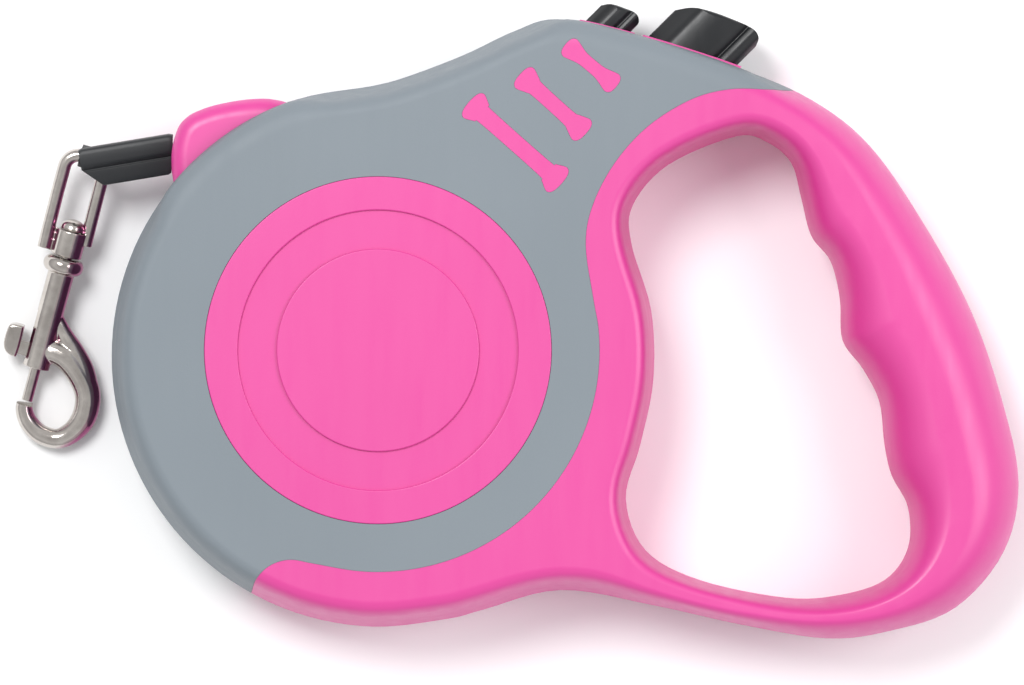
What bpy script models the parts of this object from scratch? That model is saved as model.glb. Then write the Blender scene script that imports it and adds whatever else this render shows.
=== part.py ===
"""Retractable tape leash, lying on its back face.

Every dimension is in millimetres, and the helpers turn them into metres (MM).
The origin is where the reel's axis meets the resting face. +X runs towards the grip,
+Y towards the buttons, and +Z from the back face to the front face.
The two halves of the case mirror each other about the mid-plane.
"""

import math

import bmesh
import bpy
from mathutils import Matrix, Vector

MM = 0.001
GAP = 0.3                     # clearance between neighbours that touch or are cut to fit

# Case
THICKNESS = 28.0              # front face to back face
MIDDLE = THICKNESS / 2        # height of the parting plane
GRIP_THICKNESS = 26.0         # the grip is slightly thinner than the body
GRIP_ROUND = 10.4             # how far in from its edge the grip is rounded
GRIP_FROM = 60.0              # the body's flat face starts turning into the round grip here
GRIP_UNTIL = 88.0             # and it is fully round from here on
THINNEST_SHARE = 0.46         # share of a thin bar that one rounded side may take
COVER = 1.2                   # thickness of the coloured covers
BONE_SINK = 0.05              # the bones end this far below the cover's face
WALL = 2.0                    # thickness of the shell's faces
FLOOR = COVER + GAP + WALL    # height of the back shell's inner face
REEL_WALL = 7.0               # outline to cavity, at the parting plane

# Tape
TAPE_LENGTH = 3000.0
TAPE_THICKNESS = 0.7
TAPE_WIDTH = 10.0
TAPE_ANGLE = math.radians(9.4)          # slope of the tape where it leaves the nozzle

# Reel
REEL_OUTLINE = 49.2           # radius of the case round the reel
REEL_OUTLINE_AT = (0.6, -1.1)
CAP_RADIUS = 31.4
CAP_RING = (25.3, 18.3)       # outer and inner radius of the cap's groove
CAP_RING_DEPTH = 0.6
COVER_EDGE = 40.0             # radius of the cover's edge below and right of the reel
AXLE_RADIUS = 3.0
POST_WALL = 2.3               # wall of the posts that hold the axle
REEL_ROOM = 6.2               # between the spool's flanges and the case
FLANGE_RADIUS = REEL_OUTLINE - REEL_WALL - REEL_ROOM
FLANGE_PLAY = 0.5             # between the flanges and what is beside them
TOOTH_DEPTH = 2.0
TEETH = 24
BACK_FLANGE_TOP = MIDDLE - TAPE_WIDTH / 2 - FLANGE_PLAY
RATCHET = (BACK_FLANGE_TOP - 2.5, BACK_FLANGE_TOP)     # heights of the toothed flange
FRONT_FLANGE_LOW = MIDDLE + TAPE_WIDTH / 2 + 2 * FLANGE_PLAY
FRONT_FLANGE = (FRONT_FLANGE_LOW, FRONT_FLANGE_LOW + 1.5)
DRUM_RADIUS = 20.0
DRUM_WALL = 1.2
LID_THICKNESS = 1.5
SPRING_TURNS = 6
SPRING_STRIP = 0.35
SPRING_HEIGHT = (RATCHET[1] + 0.8, FRONT_FLANGE[0] - 3.2)

# Nozzle, whose outline is measured from the middle of its mouth
MOUTH_ANGLE = math.radians(136.33)
MOUTH_REACH = REEL_OUTLINE + 2.65       # from the reel's axis
MOUTH = (MOUTH_REACH * math.cos(MOUTH_ANGLE), MOUTH_REACH * math.sin(MOUTH_ANGLE))
SLOT = (2.4, TAPE_WIDTH + 2.0)          # the nozzle's slot, across the tape and along Z
NOZZLE_HEIGHT = SLOT[1] + 7.0
NOZZLE = [
    (22.0, 8.2), (21.1, 9.6), (16.6, 10.0), (4.9, 7.9), (2.4, 6.5), (0.6, 3.4), (0.0, -0.8),
    (0.1, -3.9), (0.6, -6.8), (3.1, -8.8), (13.1, -5.2), (18.1, 0.8), (19.5, 6.8),
]
SLEEVE = (15.8, 6.8, 3.0)               # length, width and thickness
SLEEVE_ROLL = math.radians(-35.0)
SLEEVE_START = 1.2                      # how far out from the mouth it begins
SLEEVE_EDGE = 0.5                       # its edges' bevel

# Buttons, in a frame turned to their direction of travel: s outward, t to the right
TRAVEL_ANGLE = math.radians(45.0)
BRAKE_SIDES = (-5.6, 9.4)
BRAKE_TOP = [
    (81.6, -5.6), (84.0, -3.8), (85.8, -1.2), (87.6, 2.6), (89.1, 6.6), (88.8, 8.6), (87.4, 9.4),
]
BRAKE_WIDTH = 16.0            # along Z
BRAKE_FOOT = 68.0             # where the button's underside is
BRAKE_STEM = (3.8, 5.0)       # across t and along Z
LOCK_SIDES = (-15.7, -8.6)
LOCK_TOP = [(72.8, -15.7), (74.2, -14.6), (75.3, -12.6), (76.2, -10.2), (75.6, -8.8), (74.6, -8.6)]
LOCK_WIDTH = 11.0
LOCK_FOOT = 62.0
LOCK_STEM = (3.0, 4.0)
BUTTON_ROUNDING = 1.2
BRAKE_TRAVEL = 3.0
LOCK_TRAVEL = 2.0
SLOT_MARGIN = 1.0             # how far a slot goes on behind its pressed button
SHELF = (55.0, 57.0)          # the ribs that the two button springs push on
BRAKE_SHELF = 5.2             # half the width of its rib
LOCK_SHELF = 3.0
STEM_PLAY = 0.8               # between the stems and the ribs
PAWL = (2.0, 0.8, 3.0)        # half its width, half its tip's width and how far the tip tapers
PAWL_END = 52.0
LOCK_STEM_END = 50.0
BRAKE_STEM_END = 41.0
SLOT_REACH = 95.0             # the button slots are cut out past the rim to here

# Screws
SCREW_RADIUS = 1.25
SCREW_HEAD = (2.0, 1.5)       # radius and height
BOSS_RADIUS = 2.9
SCREW_END = THICKNESS - 6.0
SCREW_TIP_ROOM = 0.6
REEL_SCREWS = [(84.3, 4.5), (225.2, 4.5), (-43.7, 9.6)]     # direction in degrees, distance from the flanges
HANDLE_SCREWS = [(59.5, 42.2), (86.5, 28.0), (104.5, -29.0)]

# Guide pins
GUIDE_RADIUS = 0.9
GUIDE_DEPTH = 1.0             # depth of the pins' sockets in the shells
GUIDES = {"guide_pin_inner": (20.0, -1), "guide_pin_outer": (25.0, 1)}    # x from the mouth, side of the tape

# Snap hook, in its own frame: x across, y towards the eye, z up. Its origin is the swivel.
HOOK_AT = (MOUTH[0] - 20.1, MOUTH[1] - 19.8, MIDDLE - 7.8)
HOOK_TURN = math.radians(-15.4)
HOOK_TILT = math.radians(7.0)           # the hook's tip lies lower than its eye
EYE_WIRE = 1.15
EYE_SIDES = (-4.5, 3.4)
EYE_CORNER = 2.6
EYE_TOP = 19.8
LOOP_RISE = 3.4                         # how far the tape rises from the eye's bar to the sleeve
LOOP_WIDTH = 2.6
COLLAR = (2.75, 1.3, 6.0)               # radius, low end, high end
FLANGE = (3.4, -1.8, 0.9)
RIVET_POST = 1.2
RIVET_END = -0.9
RIVET_DOME = (2.3, 2.0)                 # radius and height
BARREL = 2.1
BARREL_END = -20.0
BOLT = 1.0
BORE = BOLT + 0.35
BORE_TOP = -3.0
BOLT_TOP = -13.0
BOLT_END = -26.3
BOLT_TRAVEL = 6.0
TAB_NECK = (-18.3, -16.2)               # low and high end of the tab's neck
TAB_NECK_HALF = 0.6
TAB_PLAY = 0.6                          # between the neck and its slot's ends
TAB_HALF = 1.7                          # half the thumb tab's height
WEB_HALF = 1.5

OUTER = [
    (5.3, 49.8), (15.5, 53.7), (24.6, 58.0), (32.4, 60.2), (45.4, 57.6), (64.8, 51.5), (78.7, 45.5),
    (89.1, 37.3), (98.7, 23.6), (107.6, 7.3), (113.3, -9.1), (116.3, -24.0), (113.6, -36.6),
    (104.8, -46.8), (93.0, -51.0), (81.5, -52.4), (66.4, -50.0), (50.0, -46.4), (33.1, -43.6), (18.9, -47.2),
]

OPENING = [
    (65.0, 38.9), (70.8, 37.7), (75.0, 34.0), (76.8, 27.6), (78.6, 20.8), (82.1, 16.2), (83.8, 9.4),
    (84.3, 1.8), (88.0, -3.4), (91.0, -9.4), (91.9, -17.0), (93.2, -22.7), (96.2, -28.6), (96.2, -36.0),
    (92.0, -41.8), (83.8, -44.5), (74.0, -45.0), (58.4, -41.8), (48.5, -36.4), (44.9, -27.0),
    (47.5, -17.3), (49.9, -5.4), (49.5, 7.3), (45.9, 19.4), (46.2, 26.4), (52.6, 33.7),
]

# The cover's edge, from below the reel to the top rim. The arc about the reel is added between them.
EDGE_START = [(-26.0, -52.0), (-23.0, -43.6), (-21.6, -40.8), (-19.2, -38.7), (-15.8, -37.8), (-11.6, -38.5)]
EDGE_END = [
    (37.5, 19.0), (38.7, 26.0), (42.6, 33.6), (48.6, 40.3), (56.4, 45.2), (63.5, 47.1), (70.5, 47.1),
    (76.0, 47.3), (84.0, 50.0),
]
EDGE_ARC = (math.radians(-96.0), math.radians(14.0))
EDGE_OUTSIDE = [(84.0, 75.0), (-75.0, 75.0), (-75.0, -65.0), (-26.0, -65.0)]

# Each bone: its two ends, and the half widths of its shaft and of its flared ends.
BONES = [
    ((16.5, 44.8), (33.1, 30.1), 1.55, 2.8),
    ((25.7, 49.8), (37.5, 39.1), 1.4, 2.4),
    ((33.9, 55.2), (43.0, 47.6), 1.2, 1.95),
]
BONE_FLARE = 4.4              # how far back from its end a bone starts to flare

# Drafted, rounded edge of the body: how far in, and height above the parting plane.
BODY_EDGE = [(0.0, GAP / 2), (0.9, 5.0), (2.1, MIDDLE - 2.8), (2.9, MIDDLE - 0.9), (4.4, MIDDLE)]
OPENING_EDGE = [(0.0, GAP / 2), (0.8, 5.0), (1.7, MIDDLE - 2.4), (2.3, MIDDLE - 0.7), (3.4, MIDDLE)]
ROUND_STEPS = [0.0, 24.0, 48.0, 68.0, 84.0]     # degrees round the grip's section

BODY_CAVITY = [
    (24.0, -38.5), (33.0, -37.2), (40.0, -33.0), (41.0, -24.0), (44.0, -14.0), (46.0, -4.0), (45.6, 7.0),
    (42.0, 18.5), (42.0, 27.0), (48.0, 36.8), (57.0, 43.0), (61.0, 44.5), (55.0, 47.8), (44.0, 51.2),
    (33.0, 53.4), (24.5, 50.6), (15.0, 46.4),
]
GRIP_CAVITY = [(80.5, 36.5), (88.0, 26.0), (95.0, 11.0), (101.0, -6.0), (104.6, -20.0), (104.0, -32.0)]
GRIP_CAVITY_WIDTH = 8.6
GRIP_CAVITY_DEPTH = 8.5


# ---------------------------------------------------------------- materials and collections

def material(name, colour, roughness, metallic=0.0):
    made = bpy.data.materials.new(name)
    made.use_nodes = True
    shader = made.node_tree.nodes["Principled BSDF"]
    shader.inputs["Base Color"].default_value = (*colour, 1.0)
    shader.inputs["Roughness"].default_value = roughness
    shader.inputs["Metallic"].default_value = metallic
    return made


def clear_scene():
    for old in list(bpy.data.objects):
        bpy.data.objects.remove(old, do_unlink=True)


def new_collection(name):
    made = bpy.data.collections.new(name)
    bpy.context.scene.collection.children.link(made)
    return made


clear_scene()
PARTS = new_collection("retractable_leash")
CUTTERS = new_collection("cutters")
PINK = material("pink_plastic", (0.90, 0.12, 0.46), 0.45)
GREY = material("grey_plastic", (0.30, 0.36, 0.40), 0.55)
BLACK = material("black_plastic", (0.02, 0.02, 0.025), 0.30)
WHITE = material("white_acetal", (0.80, 0.80, 0.78), 0.40)
NICKEL = material("nickel", (0.62, 0.60, 0.58), 0.22, 1.0)
STEEL = material("steel", (0.50, 0.50, 0.52), 0.30, 1.0)
WEBBING = material("black_webbing", (0.015, 0.015, 0.018), 0.80)


# ---------------------------------------------------------------- outline helpers

def polar(radius, angle, centre=(0.0, 0.0)):
    return (centre[0] + radius * math.cos(angle), centre[1] + radius * math.sin(angle))


def arc(radius, start, end, count, centre=(0.0, 0.0)):
    """Points along an arc, both ends included."""
    return [polar(radius, start + (end - start) * i / (count - 1), centre) for i in range(count)]


def circle(radius, count, centre=(0.0, 0.0)):
    return arc(radius, 0.0, 2 * math.pi * (count - 1) / count, count, centre)


def smooth_closed(points, steps):
    """A closed Catmull-Rom curve through the points, with steps to each span."""
    count = len(points)
    out = []
    for i in range(count):
        a, b, c, d = (Vector(points[(i + k) % count]) for k in (-1, 0, 1, 2))
        for k in range(steps):
            u = k / steps
            bent = 2 * b + (c - a) * u + (2 * a - 5 * b + 4 * c - d) * u * u
            out.append(tuple(0.5 * (bent + (3 * b - a - 3 * c + d) * u ** 3)))
    return out


def normals(points, closed=True):
    """Unit normals that point to the left of the direction of travel."""
    count = len(points)
    out = []
    for i in range(count):
        before = Vector(points[i - 1] if closed or i else points[i])
        after = Vector(points[(i + 1) % count] if closed or i < count - 1 else points[i])
        along = (after - before).normalized()
        out.append(Vector((-along.y, along.x)))
    return out


def offset(points, distance, closed=True):
    """The points moved to the left by the distance."""
    sides = normals(points, closed)
    return [tuple(Vector(p) + n * distance) for p, n in zip(points, sides)]


def ribbon(points, width):
    """The outline of a strip of the given width that follows the points."""
    return offset(points, width / 2, closed=False) + offset(points, -width / 2, closed=False)[::-1]


def screw_places():
    """Round the reel, clear of its flanges, and along the handle."""
    places = [polar(FLANGE_RADIUS + out, math.radians(turn)) for turn, out in REEL_SCREWS]
    return places + HANDLE_SCREWS


def travel_frame(s, t):
    """From the buttons' frame to x and y."""
    return (
        s * math.cos(TRAVEL_ANGLE) + t * math.sin(TRAVEL_ANGLE),
        s * math.sin(TRAVEL_ANGLE) - t * math.cos(TRAVEL_ANGLE),
    )


def bone_outline(start, end, shaft, flare):
    """A straight shaft that flares at both ends, worked out in the bone's own frame."""
    half = (Vector(end) - Vector(start)).length / 2
    middle = (Vector(start) + Vector(end)) / 2
    along = (Vector(end) - Vector(start)).normalized()
    across = Vector((-along.y, along.x))
    corner = [
        (half, flare * 0.4), (half - 0.4, flare * 0.85), (half - 1.1, flare),
        (half - BONE_FLARE * 0.65, shaft + (flare - shaft) * 0.3), (half - BONE_FLARE, shaft),
    ]
    right = [(x, -y) for x, y in corner[::-1]] + corner
    outline = right + [(-x, -y) for x, y in right]
    return [tuple(middle + along * x + across * y) for x, y in outline]


# ---------------------------------------------------------------- solid helpers

def link(mesh, name, finish, collection=PARTS):
    obj = bpy.data.objects.new(name, mesh)
    if finish:
        mesh.materials.append(finish)
    collection.objects.link(obj)
    if collection is CUTTERS:
        obj.hide_render = True
        obj.display_type = "WIRE"
    return obj


def from_bmesh(bm, name, finish, collection=PARTS):
    bmesh.ops.recalc_face_normals(bm, faces=bm.faces)
    mesh = bpy.data.meshes.new(name)
    bm.to_mesh(mesh)
    bm.free()
    return link(mesh, name, finish, collection)


def to_mesh(curve_object, name, finish, collection):
    """The curve's evaluated shape as a mesh object, with its caps welded on."""
    bpy.context.view_layer.update()
    graph = bpy.context.evaluated_depsgraph_get()
    mesh = bpy.data.meshes.new_from_object(curve_object.evaluated_get(graph))
    mesh.transform(curve_object.matrix_world)
    curve = curve_object.data
    bpy.data.objects.remove(curve_object, do_unlink=True)
    bpy.data.curves.remove(curve)
    bm = bmesh.new()
    bm.from_mesh(mesh)
    bmesh.ops.remove_doubles(bm, verts=bm.verts, dist=0.002 * MM)
    bmesh.ops.recalc_face_normals(bm, faces=bm.faces)
    bm.to_mesh(mesh)
    bm.free()
    mesh.materials.clear()
    mesh.name = name
    return link(mesh, name, finish, collection)


def prism(name, outlines, low, high, finish=None, rounding=0.0, collection=PARTS):
    """A flat outline, with any holes after it, from height low to height high."""
    curve = bpy.data.curves.new(name, "CURVE")
    curve.dimensions = "2D"
    curve.fill_mode = "BOTH"
    curve.extrude = ((high - low) / 2 - rounding) * MM
    curve.bevel_depth = rounding * MM
    curve.bevel_resolution = 1
    curve.offset = -rounding * MM
    for outline in outlines:
        spline = curve.splines.new("POLY")
        spline.points.add(len(outline) - 1)
        spline.use_cyclic_u = True
        for point, (x, y) in zip(spline.points, outline):
            point.co = (x * MM, y * MM, 0.0, 1.0)
    obj = bpy.data.objects.new(name, curve)
    obj.location.z = (low + high) / 2 * MM
    bpy.context.scene.collection.objects.link(obj)
    return to_mesh(obj, name, finish, collection)


def wire(name, points, radius, finish=None, radii=None, sides=2, collection=PARTS):
    """A round rod along 3-D points, with its ends filled."""
    curve = bpy.data.curves.new(name, "CURVE")
    curve.dimensions = "3D"
    curve.bevel_depth = radius * MM
    curve.bevel_resolution = sides
    curve.use_fill_caps = True
    spline = curve.splines.new("POLY")
    spline.points.add(len(points) - 1)
    for i, (x, y, z) in enumerate(points):
        spline.points[i].co = (x * MM, y * MM, z * MM, 1.0)
        spline.points[i].radius = radii[i] if radii else 1.0
    obj = bpy.data.objects.new(name, curve)
    bpy.context.scene.collection.objects.link(obj)
    return to_mesh(obj, name, finish, collection)


def turned(name, profile, finish=None, steps=48, collection=PARTS):
    """A closed profile of (radius, height) points, turned about Z."""
    bm = bmesh.new()
    corners = [bm.verts.new((r * MM, 0.0, z * MM)) for r, z in profile]
    for a, b in zip(corners, corners[1:] + corners[:1]):
        if a.co.x > 1e-9 or b.co.x > 1e-9:
            bm.edges.new((a, b))
    obj = from_bmesh(bm, name, finish, collection)
    screw = obj.modifiers.new("turn", "SCREW")
    screw.steps = steps
    screw.render_steps = steps
    screw.use_merge_vertices = True
    screw.merge_threshold = 0.001 * MM
    return obj


def pins(name, places, radius, low, high, finish=None, collection=CUTTERS, sides=20):
    """Upright cylinders at the places, in one mesh."""
    bm = bmesh.new()
    for x, y in places:
        at = Matrix.Translation(Vector((x, y, (low + high) / 2)) * MM)
        bmesh.ops.create_cone(
            bm, cap_ends=True, segments=sides, radius1=radius * MM, radius2=radius * MM,
            depth=(high - low) * MM, matrix=at,
        )
    return from_bmesh(bm, name, finish, collection)


def rod(name, radius, low, high, finish=None, collection=PARTS, sides=20, x=0.0, z=0.0):
    """A cylinder along Y, for the hook's own frame."""
    bm = bmesh.new()
    at = Matrix.Translation(Vector((x, (low + high) / 2, z)) * MM) @ Matrix.Rotation(math.pi / 2, 4, "X")
    bmesh.ops.create_cone(
        bm, cap_ends=True, segments=sides, radius1=radius * MM, radius2=radius * MM,
        depth=(high - low) * MM, matrix=at,
    )
    return from_bmesh(bm, name, finish, collection)


def box(name, low, high, finish=None, collection=CUTTERS):
    bm = bmesh.new()
    low, high = Vector(low), Vector(high)
    bmesh.ops.create_cube(bm, size=1.0)
    bmesh.ops.scale(bm, vec=(high - low) * MM, verts=bm.verts)
    bmesh.ops.translate(bm, vec=(low + high) / 2 * MM, verts=bm.verts)
    return from_bmesh(bm, name, finish, collection)


def combine(obj, other, operation):
    step = obj.modifiers.new(operation.lower() + "_" + other.name[:30], "BOOLEAN")
    step.operation = operation
    step.object = other
    return obj


def cut(obj, other):
    return combine(obj, other, "DIFFERENCE")


def join(obj, other):
    return combine(obj, other, "UNION")


def keep(obj, other):
    return combine(obj, other, "INTERSECT")


def facing(front, pieces):
    """Pieces made for the front half, turned over about the parting plane for the back half."""
    if not front:
        flip = Matrix.Translation((0, 0, THICKNESS * MM)) @ Matrix.Scale(-1, 4, (0, 0, 1))
        for piece in pieces:
            piece.data.transform(flip)
            piece.data.flip_normals()
    return pieces


def smooth(obj, angle=35.0):
    obj.data.shade_smooth()
    obj.data.set_sharp_from_angle(angle=math.radians(angle))
    return obj


# ---------------------------------------------------------------- case

def outer_outline():
    """Clockwise: the curve over the top, the grip and the bottom, then the arc round the reel."""
    bottom, top = math.radians(-76.0), math.radians(92.0)
    around = arc(REEL_OUTLINE, bottom, top - 2 * math.pi, 13, REEL_OUTLINE_AT)
    return smooth_closed(OUTER + around, 2)


def opening_outline():
    return smooth_closed(OPENING, 2)


def cover_edge(clearance):
    """The outline of everything on the cover's side of its edge, less the clearance."""
    edge = EDGE_START + arc(COVER_EDGE, *EDGE_ARC, 14) + EDGE_END
    return offset(edge, clearance, closed=False) + EDGE_OUTSIDE


def blend(value, low, high):
    u = min(max((value - low) / (high - low), 0.0), 1.0)
    return u * u * (3 - 2 * u)


def edge_rings(outline, other, edge, inward):
    """Rings up the side of the case: drafted and rounded on the body, round on the grip."""
    sides = normals(outline)
    reach = edge[-1][0]
    rings = []
    for (inset, height), angle in zip(edge, ROUND_STEPS):
        ring = []
        for point, side in zip(outline, sides):
            here = Vector(point)
            width = min((Vector(p) - here).length for p in other)
            roundness = blend(here.x, GRIP_FROM, GRIP_UNTIL)
            body_inset = inset * min(1.0, THINNEST_SHARE * width / reach)
            grip_reach = min(GRIP_ROUND, THINNEST_SHARE * width)
            grip_inset = grip_reach * (1 - math.cos(math.radians(angle)))
            grip_height = max(GRIP_THICKNESS / 2 * math.sin(math.radians(angle)), GAP / 2)
            shift = body_inset + (grip_inset - body_inset) * roundness
            lift = height + (grip_height - height) * roundness
            place = here + side * shift * inward
            ring.append((place.x, place.y, MIDDLE + lift))
        rings.append(ring)
    return rings


def loft(bm, rings):
    """Faces between the rings. Returns the edges of the first and the last ring."""
    rows = [[bm.verts.new(Vector(p) * MM) for p in ring] for ring in rings]
    count = len(rows[0])
    for lower, upper in zip(rows, rows[1:]):
        for i in range(count):
            k = (i + 1) % count
            bm.faces.new((lower[i], lower[k], upper[k], upper[i]))
    ends = []
    for row in (rows[0], rows[-1]):
        ends.append([bm.edges.get((row[i], row[(i + 1) % count])) for i in range(count)])
    return ends


def half_case(name):
    """The outside of the front half, closed at the parting plane."""
    outer, opening = outer_outline(), opening_outline()
    bm = bmesh.new()
    outside = loft(bm, edge_rings(outer, opening, BODY_EDGE, -1))
    inside = loft(bm, edge_rings(opening, outer, OPENING_EDGE, 1))
    for a, b in zip(outside, inside):
        bmesh.ops.triangle_fill(bm, use_beauty=True, edges=a + b, normal=(0, 0, 1))
    return from_bmesh(bm, name, None)


def cover_zone(name, inset, clearance, front):
    """What lies on the cover's side of its edge and outside the shell's core."""
    zone = prism(name, [cover_edge(clearance)], MIDDLE - 3, THICKNESS + 3, collection=CUTTERS)
    outline = outer_outline()
    drafted = [(0.0, -6.0), (0.0, 0.0), (2.2, MIDDLE - 3.0), (3.2, MIDDLE - inset)]
    bm = bmesh.new()
    rings = []
    for shift, height in drafted:
        rings.append([(x, y, MIDDLE + height) for x, y in offset(outline, -inset - shift)])
    for ring in loft(bm, rings):
        bmesh.ops.triangle_fill(bm, use_beauty=True, edges=ring, normal=(0, 0, 1))
    core = from_bmesh(bm, name + "_core", None, CUTTERS)
    facing(front, [zone, core])
    return cut(zone, core)


def plunger_slot(name, sides, foot, width):
    """The slot that a button travels in, cut out past the rim."""
    left, right = sides[0] - GAP, sides[1] + GAP
    corners = [(foot, left), (SLOT_REACH, left), (SLOT_REACH, right), (foot, right)]
    half = width / 2 + GAP
    outline = [travel_frame(s, t) for s, t in corners]
    return prism(name, [outline], MIDDLE - half, MIDDLE + half, collection=CUTTERS)


def nozzle_outline():
    return [(MOUTH[0] + x, MOUTH[1] + y) for x, y in NOZZLE]


def nozzle_seat(name):
    half = NOZZLE_HEIGHT / 2 + GAP
    return prism(name, [offset(nozzle_outline(), -GAP)], MIDDLE - half, MIDDLE + half, collection=CUTTERS)


def rim_cuts(side):
    brake_foot = BRAKE_FOOT - BRAKE_TRAVEL - SLOT_MARGIN
    lock_foot = LOCK_FOOT - LOCK_TRAVEL - SLOT_MARGIN
    return [
        plunger_slot(side + "_brake_slot", BRAKE_SIDES, brake_foot, BRAKE_WIDTH),
        plunger_slot(side + "_lock_slot", LOCK_SIDES, lock_foot, LOCK_WIDTH),
        nozzle_seat(side + "_nozzle_seat"),
        tape_slot(side + "_tape_slot"),
    ]


def shelf_outline(middle, half):
    near, far = SHELF
    left, right = middle - half, middle + half
    return [travel_frame(s, t) for s, t in [(near, left), (far, left), (far, right), (near, right)]]


def shell_additions(side, front):
    """What stands inside a half shell: the axle's post, the screws' bosses and the spring shelves."""
    top = THICKNESS - FLOOR + WALL / 2
    flange = FRONT_FLANGE[1] if front else THICKNESS - RATCHET[0]
    parting = MIDDLE + GAP / 2 + 0.05
    brake_low = MIDDLE + BRAKE_STEM[1] / 2 + STEM_PLAY
    lock_low = MIDDLE + LOCK_STEM[1] / 2 + STEM_PLAY
    brake_shelf = shelf_outline(pawl_middle(), BRAKE_SHELF)
    lock_shelf = shelf_outline(lock_middle(), LOCK_SHELF)
    return facing(front, [
        pins(side + "_axle_post", [(0, 0)], AXLE_RADIUS + GAP + POST_WALL, flange + FLANGE_PLAY, top),
        pins(side + "_bosses", screw_places(), BOSS_RADIUS, parting, top, sides=12),
        prism(side + "_brake_shelf", [brake_shelf], brake_low, top, collection=CUTTERS),
        prism(side + "_lock_shelf", [lock_shelf], lock_low, top, collection=CUTTERS),
    ])


def shell_hollows(side, front):
    """The cavities of a half shell: round the reel and under the buttons, and in the grip."""
    inner = THICKNESS - FLOOR
    start, end = math.radians(92.0), math.radians(284.0)
    around = arc(REEL_OUTLINE - REEL_WALL, start, end, 17, REEL_OUTLINE_AT)
    grip = ribbon(GRIP_CAVITY, GRIP_CAVITY_WIDTH)
    low, high = MIDDLE - 4, MIDDLE + GRIP_CAVITY_DEPTH
    return facing(front, [
        prism(side + "_cavity", [around + BODY_CAVITY], low, inner, collection=CUTTERS),
        prism(side + "_grip_cavity", [grip], low, high, collection=CUTTERS),
    ])


def pin_holes(side, front):
    inner = THICKNESS - FLOOR
    places = [guide_place(name) for name in GUIDES]
    return facing(front, [
        pins(side + "_axle_hole", [(0, 0)], AXLE_RADIUS + GAP, MIDDLE, inner),
        pins(side + "_guide_sockets", places, GUIDE_RADIUS + GAP, MIDDLE, inner + GUIDE_DEPTH, sides=10),
    ])


def screw_holes(front):
    places, radius = screw_places(), SCREW_RADIUS + GAP
    if front:
        return [pins("front_screw_holes", places, radius, MIDDLE - 4, SCREW_END + SCREW_TIP_ROOM, sides=10)]
    through = pins("back_screw_holes", places, radius, COVER - GAP, MIDDLE + 4, sides=10)
    heads = pins("back_head_holes", places, SCREW_HEAD[0] + GAP, -4.0, screw_head_top(), sides=12)
    return [through, heads]


def screw_head_top():
    """Height of the seat under the screws' heads, clear of the back cover."""
    return COVER + GAP + SCREW_HEAD[1] + GAP


def bones(name, spread, low, high, collection=CUTTERS):
    """The three bones side by side in one mesh, each outline grown by the spread."""
    bm = bmesh.new()
    for i, bone in enumerate(BONES):
        outline = offset(bone_outline(*bone), -spread)
        piece = prism(f"{name}_{i}", [outline], low, high, collection=CUTTERS)
        bm.from_mesh(piece.data)
        bpy.data.objects.remove(piece, do_unlink=True)
    return from_bmesh(bm, name, None, collection)


def half_shell(front):
    """One pink half: body, handle and bones, hollowed for the reel and the buttons."""
    side = "front" if front else "back"
    shell = half_case(side + "_shell")
    shell.data.materials.append(PINK)
    proud = bones(side + "_bones", 0.0, THICKNESS - FLOOR + 0.5, THICKNESS - BONE_SINK)
    facing(front, [shell, proud])
    cut(shell, cover_zone(side + "_recess", COVER + GAP, -GAP / 2, front))
    for hollow in shell_hollows(side, front):
        cut(shell, hollow)
    join(shell, proud)
    for addition in shell_additions(side, front):
        join(shell, addition)
    for hole in rim_cuts(side + "_shell") + pin_holes(side, front) + screw_holes(front):
        cut(shell, hole)
    return shell


def cover(front):
    """The grey skin: face and rim as far as the parting plane, with its windows."""
    side = "front" if front else "back"
    skin = half_case(side + "_cover")
    skin.data.materials.append(GREY)
    low, high = THICKNESS - 6, THICKNESS + 6
    windows = bones(side + "_windows", GAP, low, high)
    round_window = pins(side + "_round_window", [(0, 0)], CAP_RADIUS, low, high, sides=40)
    facing(front, [skin, windows, round_window])
    keep(skin, cover_zone(side + "_skin", COVER, GAP / 2, front))
    for hole in [windows, round_window] + rim_cuts(side + "_cover"):
        cut(skin, hole)
    return skin


def cap(front):
    """The round cap over the reel, with its shallow groove."""
    low, high = THICKNESS - COVER, THICKNESS
    outer, inner = CAP_RING
    profile = [
        (0.0, high), (inner, high), (inner, high - CAP_RING_DEPTH), (outer, high - CAP_RING_DEPTH),
        (outer, high), (CAP_RADIUS - GAP - 0.4, high), (CAP_RADIUS - GAP, high - 0.4),
        (CAP_RADIUS - GAP, low), (0.0, low),
    ]
    name = ("front" if front else "back") + "_cap"
    made = turned(name, profile, PINK, steps=40)
    if not front:
        made.matrix_world = Matrix.Translation((0, 0, THICKNESS * MM)) @ Matrix.Rotation(math.pi, 4, "X")
    return smooth(made)


def case_screws():
    """Pan-head screws from the back, each its own piece."""
    head_radius, head_height = SCREW_HEAD
    seat = screw_head_top()
    for i, (x, y) in enumerate(screw_places()):
        low = seat - GAP - head_height
        profile = [
            (0.0, SCREW_END), (SCREW_RADIUS, SCREW_END), (SCREW_RADIUS, seat - GAP),
            (head_radius, seat - GAP), (head_radius, low + 0.4), (head_radius - 0.5, low), (0.0, low),
        ]
        screw = turned(f"case_screw_{i + 1}", profile, STEEL, steps=10)
        screw.location = (x * MM, y * MM, 0.0)


# ---------------------------------------------------------------- reel

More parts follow.
